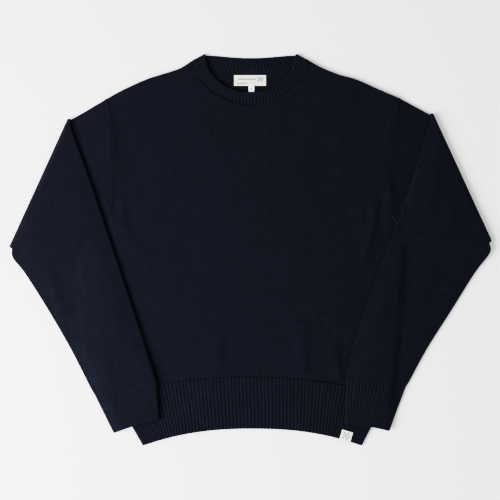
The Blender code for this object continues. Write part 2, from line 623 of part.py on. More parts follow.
class Sleeve:
    """One sleeve on the right half of the plan, with side giving the half it is made on.

    Its lower part lies on the surface from the armhole to the fold. Its upper part lies over
    the body from the fold to the cuff, with the layer that was underneath on top.
    """

    def __init__(self, word, side_path, arm_path):
        self.side = SIDES[word]
        self.arm_path = arm_path
        rows = [[*s["in"], *s["out"], s["span"], s["loft"], s["bow"]] for s in SLEEVES[word]]
        self.rows = np.array(rows, float)
        fold_in, fold_out = self.rows[0, 0:2], self.rows[0, 2:4]
        self.outline = garment_outline(side_path, fold_in, fold_out)
        self.radius = (FRONT_TOP + SLEEVE_GAP) / 2
        self.outward = fold_normal(fold_in, fold_out)
        self.crosswise = np.linspace(0, 1, ARM_ROWS + 1)
        self.axis_ends = self.rows[0, :4].reshape(2, 2) - self.outward * (self.radius + TUBE_HALF)
        self.axis_line = self.between(*self.axis_ends)

    def between(self, first, last):
        """Points across the sleeve in a straight line."""
        return first + self.crosswise[:, None] * (last - first)

    def placed(self, p, z):
        """Plan points and heights as points on this sleeve's own half."""
        return np.column_stack([self.side * p[:, 0], p[:, 1], z])

    def rest_height(self, p, span):
        """Height of the underside of the upper part: on the garment, then down to the surface."""
        over_hem = soft_step((HEM_STEP_FROM - p[:, 1]) / HEM_STEP_OVER)
        away = outside_distance(self.outline, p[:, 0], p[:, 1])
        level = FRONT_TOP + SLEEVE_GAP + HEM_STEP * over_hem
        return level * (1 - soft_step((away - span) / SINK))

    def lay(self, row, t, h):
        """Points of the upper part: across the section in row at shares t, h above its middle."""
        first, last, (span, loft, bow) = row[0:2], row[2:4], row[4:7]
        run = (last - first) / np.linalg.norm(last - first)
        towards_cuff = np.array([run[1], -run[0]])
        share = self.crosswise[:, None]
        line = self.between(first, last) - towards_cuff * bow * 4 * share * (1 - share)
        p = along(line, t)
        inside = np.sin(np.pi * np.clip(t, 0, 1)) ** 0.5
        soft = folds_at(SLEEVE_FOLDS, self.side * p[:, 0], p[:, 1]) * inside
        puff = np.where(h > 0, (loft + soft) * inside, 0.0)
        return self.placed(p, self.rest_height(p, span) + TUBE_HALF + h + puff)

    def rest(self, line, t, h):
        """Points of the lower part, over a line at shares t, h above its middle."""
        return self.placed(along(line, t), TUBE_HALF + h)

    def turn(self, phi, t, h):
        """Points of the fold: phi 0 on the lower part, pi on the upper part."""
        reach = self.radius - h
        p = along(self.axis_line, t) + (math.sin(phi) * reach)[:, None] * self.outward
        return self.placed(p, TUBE_HALF + self.radius - math.cos(phi) * reach)

    def armhole_line(self):
        """The armhole seam's points from the top down, just outside the body."""
        step = np.diff(self.arm_path, axis=0)
        normal = np.stack([step[:, 1], -step[:, 0]], axis=1)
        normal = np.vstack([normal[:1], normal[:-1] + normal[1:], normal[-1:]])
        normal /= np.linalg.norm(normal, axis=1)[:, None]
        return (self.arm_path + normal * GAP)[::-1]

    def arm_rings(self, profile):
        """Rings of one face of the wall, from the armhole over the fold to the cuff."""
        t, h = profile
        armhole = self.armhole_line()
        rings = []
        for share in np.linspace(0, 1, ARMHOLE_STATIONS, endpoint=False):
            rings.append(self.rest(armhole + (self.axis_line - armhole) * share, t, h))
        for phi in np.linspace(0, math.pi, FOLD_STATIONS + 1):
            rings.append(self.turn(phi, t, h))
        start = [*self.axis_ends.ravel(), *self.rows[0, 4:]]
        path = smooth_path([start, *self.rows[1:-1]], FOLDED_STATIONS)
        return np.array(rings + [self.lay(row, t, -h) for row in path[1:]])

    def make_arm(self, name):
        """The plain knitted tube from the armhole, over the fold, to the cuff."""
        points = self.crosswise[1:-1].tolist()
        width = np.linalg.norm(self.rows[0, 2:4] - self.rows[0, 0:2])
        outside, inside = loop_profile(width, points, points)
        outer, inner = self.arm_rings(outside), self.arm_rings(inside)
        make_tube(name, outer, inner, len(points) + 3, NAVY)

    def make_cuff(self, name):
        """The ribbed tube that ends the sleeve, with its ribs raised on the side that shows."""
        at, height = rib_columns(CUFF_RIBS)
        inside_edges = (at > CUFF_EDGE) & (at < 1 - CUFF_EDGE)
        at, height = at[inside_edges], height[inside_edges]
        below = at[1::3].tolist()
        start = self.rows[-2] - np.array([0, GAP, 0, GAP, 0, 0, 0])
        outer, inner = [], []
        for share in np.linspace(0, 1, CUFF_STATIONS + 1):
            row = start + (self.rows[-1] - start) * share
            width = np.linalg.norm(row[2:4] - row[0:2])
            (t, h), (inner_t, inner_h) = loop_profile(width, below, at.tolist())
            h[-1 - len(at) : -1] += height[::-1]
            outer.append(self.lay(row, t, h))
            inner.append(self.lay(row, inner_t, inner_h))
        make_tube(name, np.array(outer), np.array(inner), len(below) + 3, NAVY_RIB)


# Labels


def make_flat_label(name, label, colour, raised=lambda y: 0.0 * y):
    """A blank woven label lying on the inside of the back, raised where it lies on another."""
    x = label["x"] + label["width"] * np.linspace(-0.5, 0.5, 7)
    y = label["y"] + label["height"] * np.linspace(-0.5, 0.5, 8)
    plan = np.dstack(np.meshgrid(x, y))
    bottom = BACK_TOP + GAP + raised(plan[..., 1])
    make_panel(name, plan, bottom + label["thick"], bottom, colour, LABEL_ROUGHNESS)


def over_neck_label(y):
    """Rise of the size tab where it laps over the lower edge of the neck label."""
    edge = NECK_LABEL["y"] - NECK_LABEL["height"] / 2
    return (NECK_LABEL["thick"] + GAP) * soft_step((y - edge + TAB_LAP) / (TAB_LAP - 1.0))


def make_hem_label():
    """A blank label folded over the hem's edge, on the crests of the ribs."""
    length, thick = HEM_LABEL["height"], HEM_LABEL["thick"]
    slope = (hem_curve(HEM_LABEL["x"] + 1) - hem_curve(HEM_LABEL["x"] - 1)) / 2
    tangent = np.array([1.0, slope, 0.0]) / math.hypot(1.0, slope)
    outward = np.array([tangent[1], -tangent[0], 0.0])
    crest = FRONT_TOP + CREST + GAP
    edge = 2 * GAP
    low = crest - HEM_LABEL["tuck"]
    profile = [  # distance out from the hem's edge, height
        (-length, crest),
        (-1.5 * thick, crest),
        (edge, crest - 2 * thick),
        (edge, low),
        (edge + thick, low),
        (edge + thick, crest - 1.5 * thick),
        (-thick, crest + thick),
        (-length, crest + thick),
    ]
    rings = []
    for offset in HEM_LABEL["width"] * np.linspace(-0.5, 0.5, 5):
        x = HEM_LABEL["x"] + offset * tangent[0]
        base = np.array([x, hem_curve(x), 0.0])
        rings.append([base + outward * out + np.array([0, 0, z]) for out, z in profile])
    make_strip("hem_label", np.array(rings), False, CREAM, LABEL_ROUGHNESS)


def main():
    for old in list(bpy.data.objects):
        bpy.data.objects.remove(old)
    side_path = smooth_path(SIDE_SEAM, 40)
    arm_paths = {word: smooth_path(ARMHOLES[word], ARM_ROWS) for word in SIDES}
    make_body_panels(side_path, arm_paths)
    make_hem()
    make_neckband()
    for word in SIDES:
        sleeve = Sleeve(word, side_path, arm_paths[word])
        sleeve.make_arm(f"sleeve_{word}")
        sleeve.make_cuff(f"cuff_{word}")
    make_flat_label("neck_label", NECK_LABEL, CREAM)
    make_flat_label("size_tab", SIZE_TAB, WHITE, over_neck_label)
    make_hem_label()


main()
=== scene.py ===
import math

import bpy
import numpy as np
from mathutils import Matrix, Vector


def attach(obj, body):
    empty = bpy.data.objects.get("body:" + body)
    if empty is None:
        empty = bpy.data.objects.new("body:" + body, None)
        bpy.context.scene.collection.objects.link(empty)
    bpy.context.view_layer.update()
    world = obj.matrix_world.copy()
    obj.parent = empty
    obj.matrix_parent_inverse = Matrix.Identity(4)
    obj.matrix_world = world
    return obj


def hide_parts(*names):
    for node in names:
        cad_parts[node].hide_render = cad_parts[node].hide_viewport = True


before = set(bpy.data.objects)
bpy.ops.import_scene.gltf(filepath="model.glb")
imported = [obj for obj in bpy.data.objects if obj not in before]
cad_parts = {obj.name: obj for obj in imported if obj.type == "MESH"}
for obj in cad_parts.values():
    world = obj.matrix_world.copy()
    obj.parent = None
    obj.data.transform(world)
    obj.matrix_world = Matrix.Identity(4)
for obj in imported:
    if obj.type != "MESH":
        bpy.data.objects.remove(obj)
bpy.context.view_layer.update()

print("frame loaded,", len(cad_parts), "solids")

# Lengths are millimetres with the surface at z 0, and mm makes them metres in a mesh or a light
mm = 0.001

cloth = {
    "wall": 2.8,  # thickness of the knit
    "gap": 0.3,  # air at a seam and between two layers
    "groove": 0.4,  # depth of a rib's groove in the wall
    "crest": 0.7,  # height of a rib's crest on the wall
    "underGroove": 0.7,  # depth of the grooves in a face that rests flat
}
wall, gap, half = cloth["wall"], cloth["gap"], cloth["wall"] / 2
backTop = wall
frontBottom = backTop + gap
frontTop = frontBottom + wall
tubeHalf = frontTop / 2  # half the height of a sleeve lying flat
sideSign = {"left": -1, "right": 1}
up = np.array([0.0, 0.0, 1.0])
ribPlace = 6.4  # width of one rib in the knit's own places
knitMap = "knit"  # name of every piece's texture map


# Curves and surfaces


def softStep(t):
    # 3 t^2 - 2 t^3, with t kept between 0 and 1
    t = np.clip(t, 0, 1)
    return t * t * (3 - 2 * t)


def resample(points, steps):
    # the same polyline as steps + 1 points equally far apart along it
    length = np.linalg.norm(np.diff(points, axis=0), axis=1)
    at = np.concatenate([[0], np.cumsum(length)])
    want = np.linspace(0, at[-1], steps + 1)
    return np.stack([np.interp(want, at, column) for column in points.T], axis=1)


def smoothPath(rows, steps):
    # a Catmull-Rom curve through the rows: each stretch is the cubic that leaves and reaches its
    # ends in the direction of their neighbours
    p = np.array(rows, float)
    p = np.vstack([2 * p[0] - p[1], p, 2 * p[-1] - p[-2]])
    a, b, c, d = (p[i : len(p) - 3 + i, None] for i in range(4))
    t = np.linspace(0, 1, 24, endpoint=False)[None, :, None]
    curve = b + 0.5 * ((c - a) * t + (2 * a - 5 * b + 4 * c - d) * t**2 + (3 * b - a - 3 * c + d) * t**3)
    return resample(np.vstack([curve.reshape(-1, p.shape[1]), p[-2]]), steps)


def along(points, t):
    # points of a polyline at the shares t of its length
    at = np.linspace(0, 1, len(points))
    return np.stack([np.interp(t, at, column) for column in points.T], axis=-1)


def rightOf(path):
    # unit normals of a path, on the right of the way it runs
    run = np.gradient(path, axis=0)
    return np.column_stack([run[:, 1], -run[:, 0]]) / np.linalg.norm(run, axis=1)[:, None]


def superellipse(halfWidth, centreY, drop, power, angle):
    # x = -a |cos|^(2/p), y = c - b |sin|^(2/p): the lower half, from the left end at angle 0
    x = -halfWidth * np.sign(np.cos(angle)) * np.abs(np.cos(angle)) ** (2 / power)
    y = centreY - drop * np.abs(np.sin(angle)) ** (2 / power)
    return np.stack([x, y], axis=-1)


def foldNormal(first, last):
    # unit normal of a fold line in plan, on the side away from the body
    run = np.subtract(last, first)
    run = run / np.linalg.norm(run)
    return np.array([-run[1], run[0]]) * np.sign(run[0])


def nearest(path, x, y):
    # for each spot, its distance from a path, the share along the path and, for a path that runs
    # down, if the spot lies on its left as seen from above
    spot = np.stack([x, y], axis=-1)
    best = np.full(np.shape(x), np.inf)
    share = np.zeros(np.shape(x))
    onLeft = np.zeros(np.shape(x), bool)
    for i, (a, b) in enumerate(zip(path[:-1], path[1:])):
        run = b - a
        t = np.clip(((spot - a) @ run) / (run @ run), 0, 1)
        off = spot - a - t[..., None] * run
        distance = np.linalg.norm(off, axis=-1)
        closer = distance < best
        best = np.where(closer, distance, best)
        share = np.where(closer, (i + t) / (len(path) - 1), share)
        onLeft = np.where(closer, run[0] * off[..., 1] < run[1] * off[..., 0], onLeft)
    return best, share, onLeft


def creaseHeight(creases, x, y):
    # the sum over all creases of rise * sin(pi * share)^0.7 * exp(-(distance / width)^2), where a
    # crease has one width on the left of its downward path and another on its right
    height = np.zeros(np.shape(x))
    for path, left, right, rise in creases:
        best, share, onLeft = nearest(smoothPath(path, 12), x, y)
        width = np.where(onLeft, left, right)
        height += rise * np.sin(math.pi * share) ** 0.7 * np.exp(-((best / width) ** 2))
    return height


def swells(waves, x, y):
    # slow waves of the cloth: the sum of rise * sin(x / across + y / along + shift)
    return sum(rise * np.sin(x / across + y / along + shift) for across, along, shift, rise in waves)


def quarterRound(distance, radius):
    # height share of a rounded rim, sqrt(1 - (1 - d / r)^2): 0 on the rim and 1 from r inwards
    return np.sqrt(1 - (1 - np.clip(distance / radius, 0, 1)) ** 2)


def ribWave(phase):
    # a rib's rounded crest and its groove: |sin(pi * phase)|^1.4, from 0 to 1
    return np.abs(np.sin(math.pi * phase)) ** 1.4


def ribRelief(wave):
    # its height over the wall: from a groove below it to a crest above it
    return (cloth["crest"] + cloth["groove"]) * wave - cloth["groove"]


# Meshes


def gridQuads(number):
    # quads between the neighbours of a grid of point numbers
    corners = [number[:-1, :-1], number[:-1, 1:], number[1:, 1:], number[1:, :-1]]
    return np.stack(corners, axis=-1).reshape(-1, 4)


def wallQuads(rows, columns):
    # quads of two layers of one grid that share their rim
    upper = np.arange(rows * columns).reshape(rows, columns)
    lower = upper.copy()
    lower[1:-1, 1:-1] = rows * columns + np.arange((rows - 2) * (columns - 2)).reshape(rows - 2, -1)
    return np.vstack([gridQuads(upper), gridQuads(lower[:, ::-1])])


def makePiece(name, points, quads, place, replaced=()):
    # one finished object from points in millimetres, turned so that its volume is positive,
    # with each point's place in the knit, in metres, as its texture map
    points = points * mm
    a, b, c, d = (points[quads[:, i]] for i in range(4))
    volume = np.sum(np.cross(b - a, c - a) * a) + np.sum(np.cross(c - a, d - a) * a)
    if volume < 0:
        quads = quads[:, ::-1]
    mesh = bpy.data.meshes.new(name)
    mesh.vertices.add(len(points))
    mesh.vertices.foreach_set("co", points.astype(np.float32).ravel())
    mesh.loops.add(quads.size)
    mesh.loops.foreach_set("vertex_index", quads.astype(np.int32).ravel())
    mesh.polygons.add(len(quads))
    mesh.polygons.foreach_set("loop_start", np.arange(0, quads.size, 4, dtype=np.int32))
    mesh.update(calc_edges=True)
    layer = mesh.uv_layers.new(name=knitMap)
    layer.uv.foreach_set("vector", (place * mm)[quads].astype(np.float32).ravel())
    mesh.shade_smooth()
    piece = bpy.data.objects.new(name, mesh)
    bpy.context.scene.collection.objects.link(piece)
    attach(piece, "root")
    if replaced:
        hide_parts(*replaced)
    return piece


def makeWall(name, top, bottom, place, replaced=(), slot="knit"):
    # a closed wall between two layers of one grid
    rows, columns = top.shape[:2]
    points = np.vstack([top.reshape(-1, 3), bottom[1:-1, 1:-1].reshape(-1, 3)])
    places = np.vstack([place.reshape(-1, 2), place[1:-1, 1:-1].reshape(-1, 2)])
    return makePiece(name, points, wallQuads(rows, columns), places, replaced)


def makeRing(name, rings, place, replaced=()):
    # a closed skin through rings of points, joined round each ring and from the last to the first
    count, around = rings.shape[:2]
    number = np.pad(np.arange(count * around).reshape(count, around), ((0, 1), (0, 1)), mode="wrap")
    return makePiece(
        name, rings.reshape(-1, 3), gridQuads(number), place.reshape(-1, 2), replaced
    )


def makeStitches(name, centre, run, lift, length, width, height, slot="knit"):
    # small pillows of thread, all in one mesh: a unit square is drawn in to a disc, stretched
    # along run and across it, and raised along lift by height * sqrt(1 - radius^2)
    a, b = np.meshgrid(np.linspace(-1, 1, 6), np.linspace(-1, 1, 5))
    x, y = a * np.sqrt(1 - b**2 / 2), b * np.sqrt(1 - a**2 / 2)
    dome = np.sqrt(np.clip(1 - x**2 - y**2, 0, 1))
    run, lift = (np.broadcast_to(way, centre.shape) for way in (run, lift))
    across = np.cross(lift, run)
    flat = run[:, None, None] * (x * length / 2)[..., None]
    flat = flat + across[:, None, None] * (y * width / 2)[..., None]
    bulge = lift[:, None, None] * (dome * height)[..., None]
    top = centre[:, None, None] + flat + bulge
    bottom = centre[:, None, None] + flat - bulge * 0.5
    rows, columns = a.shape
    points = np.concatenate(
        [top.reshape(len(centre), -1, 3), bottom[:, 1:-1, 1:-1].reshape(len(centre), -1, 3)], axis=1
    )
    quads = wallQuads(rows, columns)[None] + (np.arange(len(centre)) * points.shape[1])[:, None, None]
    flatPoints = points.reshape(-1, 3)
    return makePiece(name, flatPoints, quads.reshape(-1, 4), flatPoints[:, :2])


# Front and back

body = {
    "halfWaist": 239.0,  # half width at the seam with the hem rib
    "waistY": -219.5,
    "waistSag": 30.0,  # how much lower that seam lies at the sides
    "underarm": 0.55,  # height of the underarm as a share of a panel
    "neckFrom": 0.30,  # share of the width where the neck begins
    "sideSeam": [(239, -249.5), (245, -205), (252, -130), (259, -45), (264, 38)],
    "armholes": {
        "left": [(264, 38), (249, 50), (238, 72), (234, 108), (237, 160), (240, 215), (251, 262)],
        "right": [(264, 38), (249, 50), (239, 80), (242, 120), (245, 170), (250, 217), (258, 264)],
    },
    "shoulders": {
        "left": [(251, 262), (222, 278), (182, 296), (156, 304.5), (124, 315), (102.7, 328.2)],
        "right": [(258, 264), (225, 278), (184, 296), (154, 304.5), (125, 316), (102.7, 328.2)],
    },
    "rimSteps": [0.15, 0.5, 1.0, 1.8, 2.8],  # places of the closer rows that round a rim
    "seamRound": 0.4,  # radius of a rim at the neck and the hem
    "armRound": 1.0,  # at an armhole
    "loft": 1.5,  # how far the front lies above the back
    "loftFade": 70.0,  # distance from a sleeve over which the loft goes
    "creaseFade": 13.0,  # the same for the creases
    "loftEase": 45.0,  # distance from the hem's seam over which the loft comes in
    "creaseEase": 14.0,
    "neckReach": 30.0,  # how far from a shoulder the neckband lifts the front
    "length": 560.0,
    "sleeveEdge": (163.0, -237.0, 0.33),  # x and y of a sleeve's edge over the body, and its slope
    "sleeveClear": 4.0,
}
neck = {
    "seamHalf": 102.0,  # half width of the band's seam with the body
    "seamY": 329.0,
    "seamDrop": 76.5,
    "seamPower": 1.8,
    "freeHalf": 79.0,  # half width of its free edge
    "freeY": 341.0,
    "freeDrop": 67.0,
    "freePower": 2.0,
    "backSeamY": 309.5,  # seam at the middle of the back
    "backDip": 7.5,  # how far the back's free edge dips below the peaks
    "seamGap": 0.7,
    "backLift": 1.5,  # the front band's rise where it lies over the back band
    "liftFrom": 292.0,
    "liftOver": 16.0,
    "width": 22.0,
    "lip": 1.8,  # how far the front band's free edge stands up
    "ribsFront": 44,
    "ribsBack": 31,
    "backEnd": 0.93,  # share of the back's half width that has ribs, and where they run out
    "backFade": 0.08,
    "endFade": 0.02,  # share of the front over which they run out at a shoulder
    "perRib": 10,  # rings for each rib
    "across": 22,  # points across the band
    "flat": (0.02, 0.93),  # share of its width between the rounded edges
    "rollFrom": 0.77,  # share of the width where the rolled cast-off edge begins
    "rollFade": 0.06,  # share over which the ribs run out into it
    "rollAt": 0.90,  # its crest, its width and its rise
    "rollWide": 0.10,
    "rollRise": 0.45,
    "seamStrip": 0.17,  # share of the back's width with no ribs, above its seam
}
bandFold = (frontBottom + neck["backLift"]) / 2  # radius of the band's middle where it turns over

frontCreases = [  # path, width on the left and on the right of it, and rise
    # right underarm: two sharp folds that run down under the sleeve, with troughs beside them
    ([(214, 110), (216, 80), (213, 50), (205, 10), (199, -30)], 12, 6, 3.7),
    ([(234, 146), (238, 115), (243, 92), (240, 70), (238, 36)], 15, 7, 3.6),
    ([(251, 136), (257, 100), (252, 72), (249, 44)], 6, 8, -1.0),
    ([(225, 100), (228, 74), (226, 46), (221, 14)], 6, 9, -0.9),
    ([(197, 94), (194, 60), (186, 20)], 9, 5, 1.4),
    # both armholes: the seam is the crest of a low ridge
    ([(-257, 266), (-250, 238), (-243, 204), (-240, 164), (-237, 116)], 46, 11, 2.4),
    ([(-233, 190), (-230, 150), (-228, 110), (-225, 80)], 18, 15, 0.9),
    ([(254, 264), (247, 214), (241, 165), (238, 118)], 12, 12, 1.7),
    ([(289, 240), (277, 196), (265, 150), (258, 118)], 12, 9, 1.2),
    # left underarm, a short fold that slants down across the chest
    ([(-224, 96), (-222, 62), (-218, 36), (-197, 8), (-180, -14)], 28, 8, 3.2),
    # folds that rise from the hem rib
    ([(96, -120), (90, -156), (92, -188), (92, -221)], 15, 9, 3.0),
    ([(112, -128), (109, -160), (111, -192), (110, -226)], 8, 16, -1.0),
    ([(141, -152), (149, -186), (154, -212), (157, -242)], 12, 8, 2.4),
    ([(157, -158), (164, -190), (169, -228)], 8, 10, -1.2),
    ([(-38, -134), (-55, -162), (-57, -206)], 13, 7, 1.5),
    ([(-24, -142), (-41, -170), (-43, -208)], 6, 13, -0.7),
    ([(-14, -136), (0, -158), (-2, -190)], 8, 6, 0.5),
    ([(16, -132), (18, -156), (14, -186)], 12, 9, 0.7),
    ([(-120, -170), (-124, -196), (-122, -226)], 11, 8, 0.5),
    # slack over the chest
    ([(-96, 222), (-60, 205), (-8, 206)], 20, 16, 0.5),
    ([(84, 236), (104, 228), (120, 238)], 16, 12, 0.6),
    ([(40, 92), (66, 76), (96, 74)], 16, 12, 0.4),
    ([(52, 46), (84, 62), (104, 84)], 9, 9, 0.35),
    ([(-150, 60), (-138, 10), (-142, -50)], 14, 12, 0.4),
]
frontSwells = [  # across, along, shift and rise of each wave
    (47.0, 71.0, 0.4, 0.22),
    (-33.0, 58.0, 2.1, 0.16),
    (21.0, -39.0, 4.0, 0.10),
    (83.0, -27.0, 1.2, 0.12),
]
backCreases = [
    ([(-120, -160), (-60, -90), (-30, 20)], 12, 9, 0.8),
    ([(90, -190), (120, -80), (110, 60)], 10, 14, 0.7),
    ([(-200, 90), (-150, 60), (-90, 70)], 8, 10, 0.6),
    ([(30, 120), (90, 150), (170, 140)], 9, 12, 0.6),
]

bandEnds = (neck["seamHalf"], neck["seamY"]), (neck["freeHalf"], neck["freeY"])  # at a shoulder
bandOutward = foldNormal(*bandEnds)
sidePath = smoothPath(body["sideSeam"], 80)
armPaths = {word: smoothPath(body["armholes"][word], 80) for word in sideSign}


def waistCurve(x):
    # a parabola, lowest at the sides
    return body["waistY"] - body["waistSag"] * (x / body["halfWaist"]) ** 2


def bandInset(nearness):
    # how far the band draws in near a shoulder, where it turns over: nearness^6 of its thickness
    return -bandOutward * (bandFold + half) * np.asarray(nearness)[..., None] ** 6


def bandEdge(edge, angle, extra=0.0):
    # the band's seam or free edge on the front, moved out by extra
    halfWidth, centreY, drop, power = (neck[edge + size] for size in ("Half", "Y", "Drop", "Power"))
    return superellipse(halfWidth + extra, centreY, drop + extra, power, angle)


def bandLift(y):
    # how far the front band rises near a shoulder, where it lies over the back band
    return neck["backLift"] * softStep((y - neck["liftFrom"]) / neck["liftOver"])


def frontNeck(angle):
    return bandEdge("seam", angle, neck["seamGap"])


def backNeck(angle):
    # the back's neckline: a flat curve of the fourth power, less the band's inset
    x = -neck["seamHalf"] * np.cos(angle)
    y = neck["backSeamY"] + (neck["seamY"] - neck["backSeamY"]) * np.cos(angle) ** 4
    return np.stack([x, y - neck["seamGap"] + bandInset(np.abs(np.cos(angle)))[..., 1]], axis=-1)


def sideEdges(word, v):
    # up one side of a panel: the side seam to the underarm, then the armhole
    low = along(sidePath, v / body["underarm"])
    high = along(armPaths[word], (v - body["underarm"]) / (1 - body["underarm"]))
    return np.where((v <= body["underarm"])[:, None], low, high) * np.array([sideSign[word], 1.0])


def topEdge(neckCurve, u):
    # across the top of a panel: shoulder, neckline, shoulder
    left = smoothPath(body["shoulders"]["left"], 60) * np.array([-1.0, 1.0])
    right = smoothPath(body["shoulders"]["right"], 60)
    middle = neckCurve(np.linspace(0, math.pi, 241))
    middle[0], middle[-1] = left[-1], right[-1]
    first = body["neckFrom"]
    inner = along(middle, (u - first) / (1 - 2 * first))
    inner = np.where((u < first)[:, None], along(left, u / first), inner)
    return np.where((u > 1 - first)[:, None], along(right, (1 - u) / first), inner)


def sharesAlong(breaks, counts, length):
    # even steps between the breaks, and closer ones inside both ends
    even = [np.linspace(a, b, n, endpoint=False) for a, b, n in zip(breaks, breaks[1:], counts)]
    rim = np.array(body["rimSteps"]) / length
    return np.unique(np.concatenate([*even, [1.0], rim, 1 - rim]).round(6))


def panelPlan(neckCurve, u, v):
    # a Coons patch: (1-v) bottom + v top + (1-u) left + u right, less the blend of the corners
    hemX = body["halfWaist"] * (2 * u - 1)
    bottom = np.stack([hemX, waistCurve(hemX)], axis=-1)[None]
    top = topEdge(neckCurve, u)[None]
    left, right = sideEdges("left", v)[:, None], sideEdges("right", v)[:, None]
    u, v = u[None, :, None], v[:, None, None]
    corners = (1 - v) * ((1 - u) * bottom[:, :1] + u * bottom[:, -1:])
    corners = corners + v * ((1 - u) * top[:, :1] + u * top[:, -1:])
    return (1 - v) * bottom + v * top + (1 - u) * left + u * right - corners


def rimFullness(plan, sideRadius, lowRadius, topRadius):
    # product of the rounded rims on the four sides, by distances along the rows and columns
    across = np.linalg.norm(np.diff(plan, axis=1), axis=2).cumsum(axis=1)
    across = np.pad(across, ((0, 0), (1, 0)))
    upwards = np.linalg.norm(np.diff(plan, axis=0), axis=2).cumsum(axis=0)
    upwards = np.pad(upwards, ((1, 0), (0, 0)))
    sides = quarterRound(across, sideRadius) * quarterRound(across[:, -1:] - across, sideRadius)
    return sides * quarterRound(upwards, lowRadius) * quarterRound(upwards[-1:] - upwards, topRadius)


def clearOf(x, y, fade):
    # 0 under a folded sleeve, and 1 from that far beyond its edge
    edgeX, edgeY, slope = body["sleeveEdge"]
    return softStep((edgeX + slope * (y - edgeY) - body["sleeveClear"] - np.abs(x)) / fade)


def softRise(x, y):
    # loft, creases and swells of what lies beside the folded sleeves
    soft = creaseHeight(frontCreases, x, y) + swells(frontSwells, x, y)
    loft = body["loft"] * clearOf(x, y, body["loftFade"]) * softStep((y - waistCurve(x)) / body["loftEase"])
    return np.maximum(loft + soft * clearOf(x, y, body["creaseFade"]), 0)


def frontRise(x, y):
    # how far the front lies above the back: less at the hem, more where the neckband turns over
    soft = softRise(x, y) * softStep((y - waistCurve(x)) / body["creaseEase"])
    toNeck = np.hypot(np.abs(x) - neck["seamHalf"], y - neck["seamY"])
    return np.maximum(soft, neck["backLift"] * softStep(1.5 - toNeck / body["neckReach"]))


def makeBodyPanel(name, neckCurve, columns, rows, replaced):
    first, underarm = body["neckFrom"], body["underarm"]
    u = sharesAlong([0, first, 1 - first, 1], columns, 2 * body["halfWaist"])
    v = sharesAlong([0, underarm, 1], rows, body["length"])
    plan = panelPlan(neckCurve, u, v)
    sideRadius = np.where(v < underarm, wall, body["armRound"])[:, None]
    topRadius = np.where((u < first) | (u > 1 - first), wall, body["seamRound"])[None]
    full = rimFullness(plan, sideRadius, body["seamRound"], topRadius)
    x, y = plan[..., 0], plan[..., 1]
    if name == "frontKnit":
        low = frontBottom + frontRise(x, y)
        high = low + wall * full
    else:
        high = np.full(full.shape, backTop)
        low = backTop - wall * full + creaseHeight(backCreases, x, y) * full
    return makeWall(name, np.dstack([plan, high]), np.dstack([plan, low]), plan, replaced)


front = makeBodyPanel("frontKnit", frontNeck, [52, 96, 52], [108, 90], ["front"])
back = makeBodyPanel("backKnit", backNeck, [22, 44, 22], [40, 38], ["back"])
print("front and back panels made")


# Hem ribs

hem = {
    "y": -310.5,  # cast-off edge at the middle
    "sag": 29.5,  # how much lower it lies at the corners
    "half": 190.0,
    "power": 2.3,
    "lean": 10.0,  # how far the ribs lean in towards their free edge, growing evenly to the sides
    "roll": 39.0,  # how much further they lean towards the corners
    "shift": 3.0,
    "ribs": 74,
    "perRib": 8,
    "fade": 0.05,  # share of the half width over which the ribs run out at the sides
    "scallop": 0.5,  # how far a rib's end stands out past its grooves
    "scallopReach": 8.0,  # how far up the rib that goes
    "meetReach": 10.0,  # distance from the free edge over which the layers lean to each other
    "length": 91.0,
    "seamRound": 1.4,  # radius of its rim along the seam
    "seamGap": 0.7,  # width of the groove there
    "rows": 40,
}
hemSwells = [
    (52.0, 40.0, 1.0, 0.15),
    (-29.0, 61.0, 3.0, 0.12),
]


def hemCurve(x):
    # the cast-off edge: a curve of the given power, lowest at the corners
    return hem["y"] - hem["sag"] * np.abs(x / hem["half"]) ** hem["power"]


def hemPlan(u, v):
    # straight lines from the cast-off edge at v 0 to the seam at v 1, leaning by a|u| + b|u|^3
    u = u[None, :]
    v = v[:, None, None]
    seamX = body["halfWaist"] * u
    lean = (hem["lean"] * np.abs(u) + hem["roll"] * np.abs(u) ** 3) * np.sign(u)
    seam = np.dstack([seamX, waistCurve(seamX) - hem["seamGap"]])
    free = np.dstack([seamX - lean + hem["shift"], hemCurve(seamX - lean)])
    return free + (seam - free) * v


def makeHem(name, perRib, rows, replaced):
    u = sharesAlong([0, 1], [hem["ribs"] * perRib], 2 * body["halfWaist"])
    v = sharesAlong([0, 1], [rows], hem["length"])
    swing = 2 * u - 1
    plan = hemPlan(swing, v)
    rib = ribWave(u * hem["ribs"])[None] * np.ones((len(v), 1))
    fade = softStep((1 - np.abs(swing)) / hem["fade"])[None]
    nearEnd = softStep(1 - v * hem["length"] / hem["scallopReach"])[:, None]
    plan[..., 1] -= hem["scallop"] * (rib * fade - 0.5) * nearEnd
    full = rimFullness(plan, wall, half, hem["seamRound"])
    meet = 0.5 * softStep(1.2 - v * hem["length"] / hem["meetReach"])[:, None]
    place = np.dstack([np.broadcast_to(u * hem["ribs"] * ribPlace, full.shape), plan[..., 1]])
    if name == "hemFrontRib":
        low = np.full(full.shape, frontBottom)
        high = frontTop + (ribRelief(rib) + swells(hemSwells, plan[..., 0], plan[..., 1])) * fade
        rest = low + wall * meet
    else:
        low = cloth["underGroove"] * (1 - rib) * fade
        high = np.full(full.shape, backTop)
        rest = high - wall * meet
    high = rest + (high - rest) * full
    low = rest + (low - rest) * full
    return makeWall(name, np.dstack([plan, high]), np.dstack([plan, low]), place, replaced, "rib_knit")


hemFront = makeHem("hemFrontRib", hem["perRib"], hem["rows"], ["hem_rib_front"])
hemBack = makeHem("hemBackRib", 6, 26, ["hem_rib_back"])
print("hem ribs made")


# Neckband


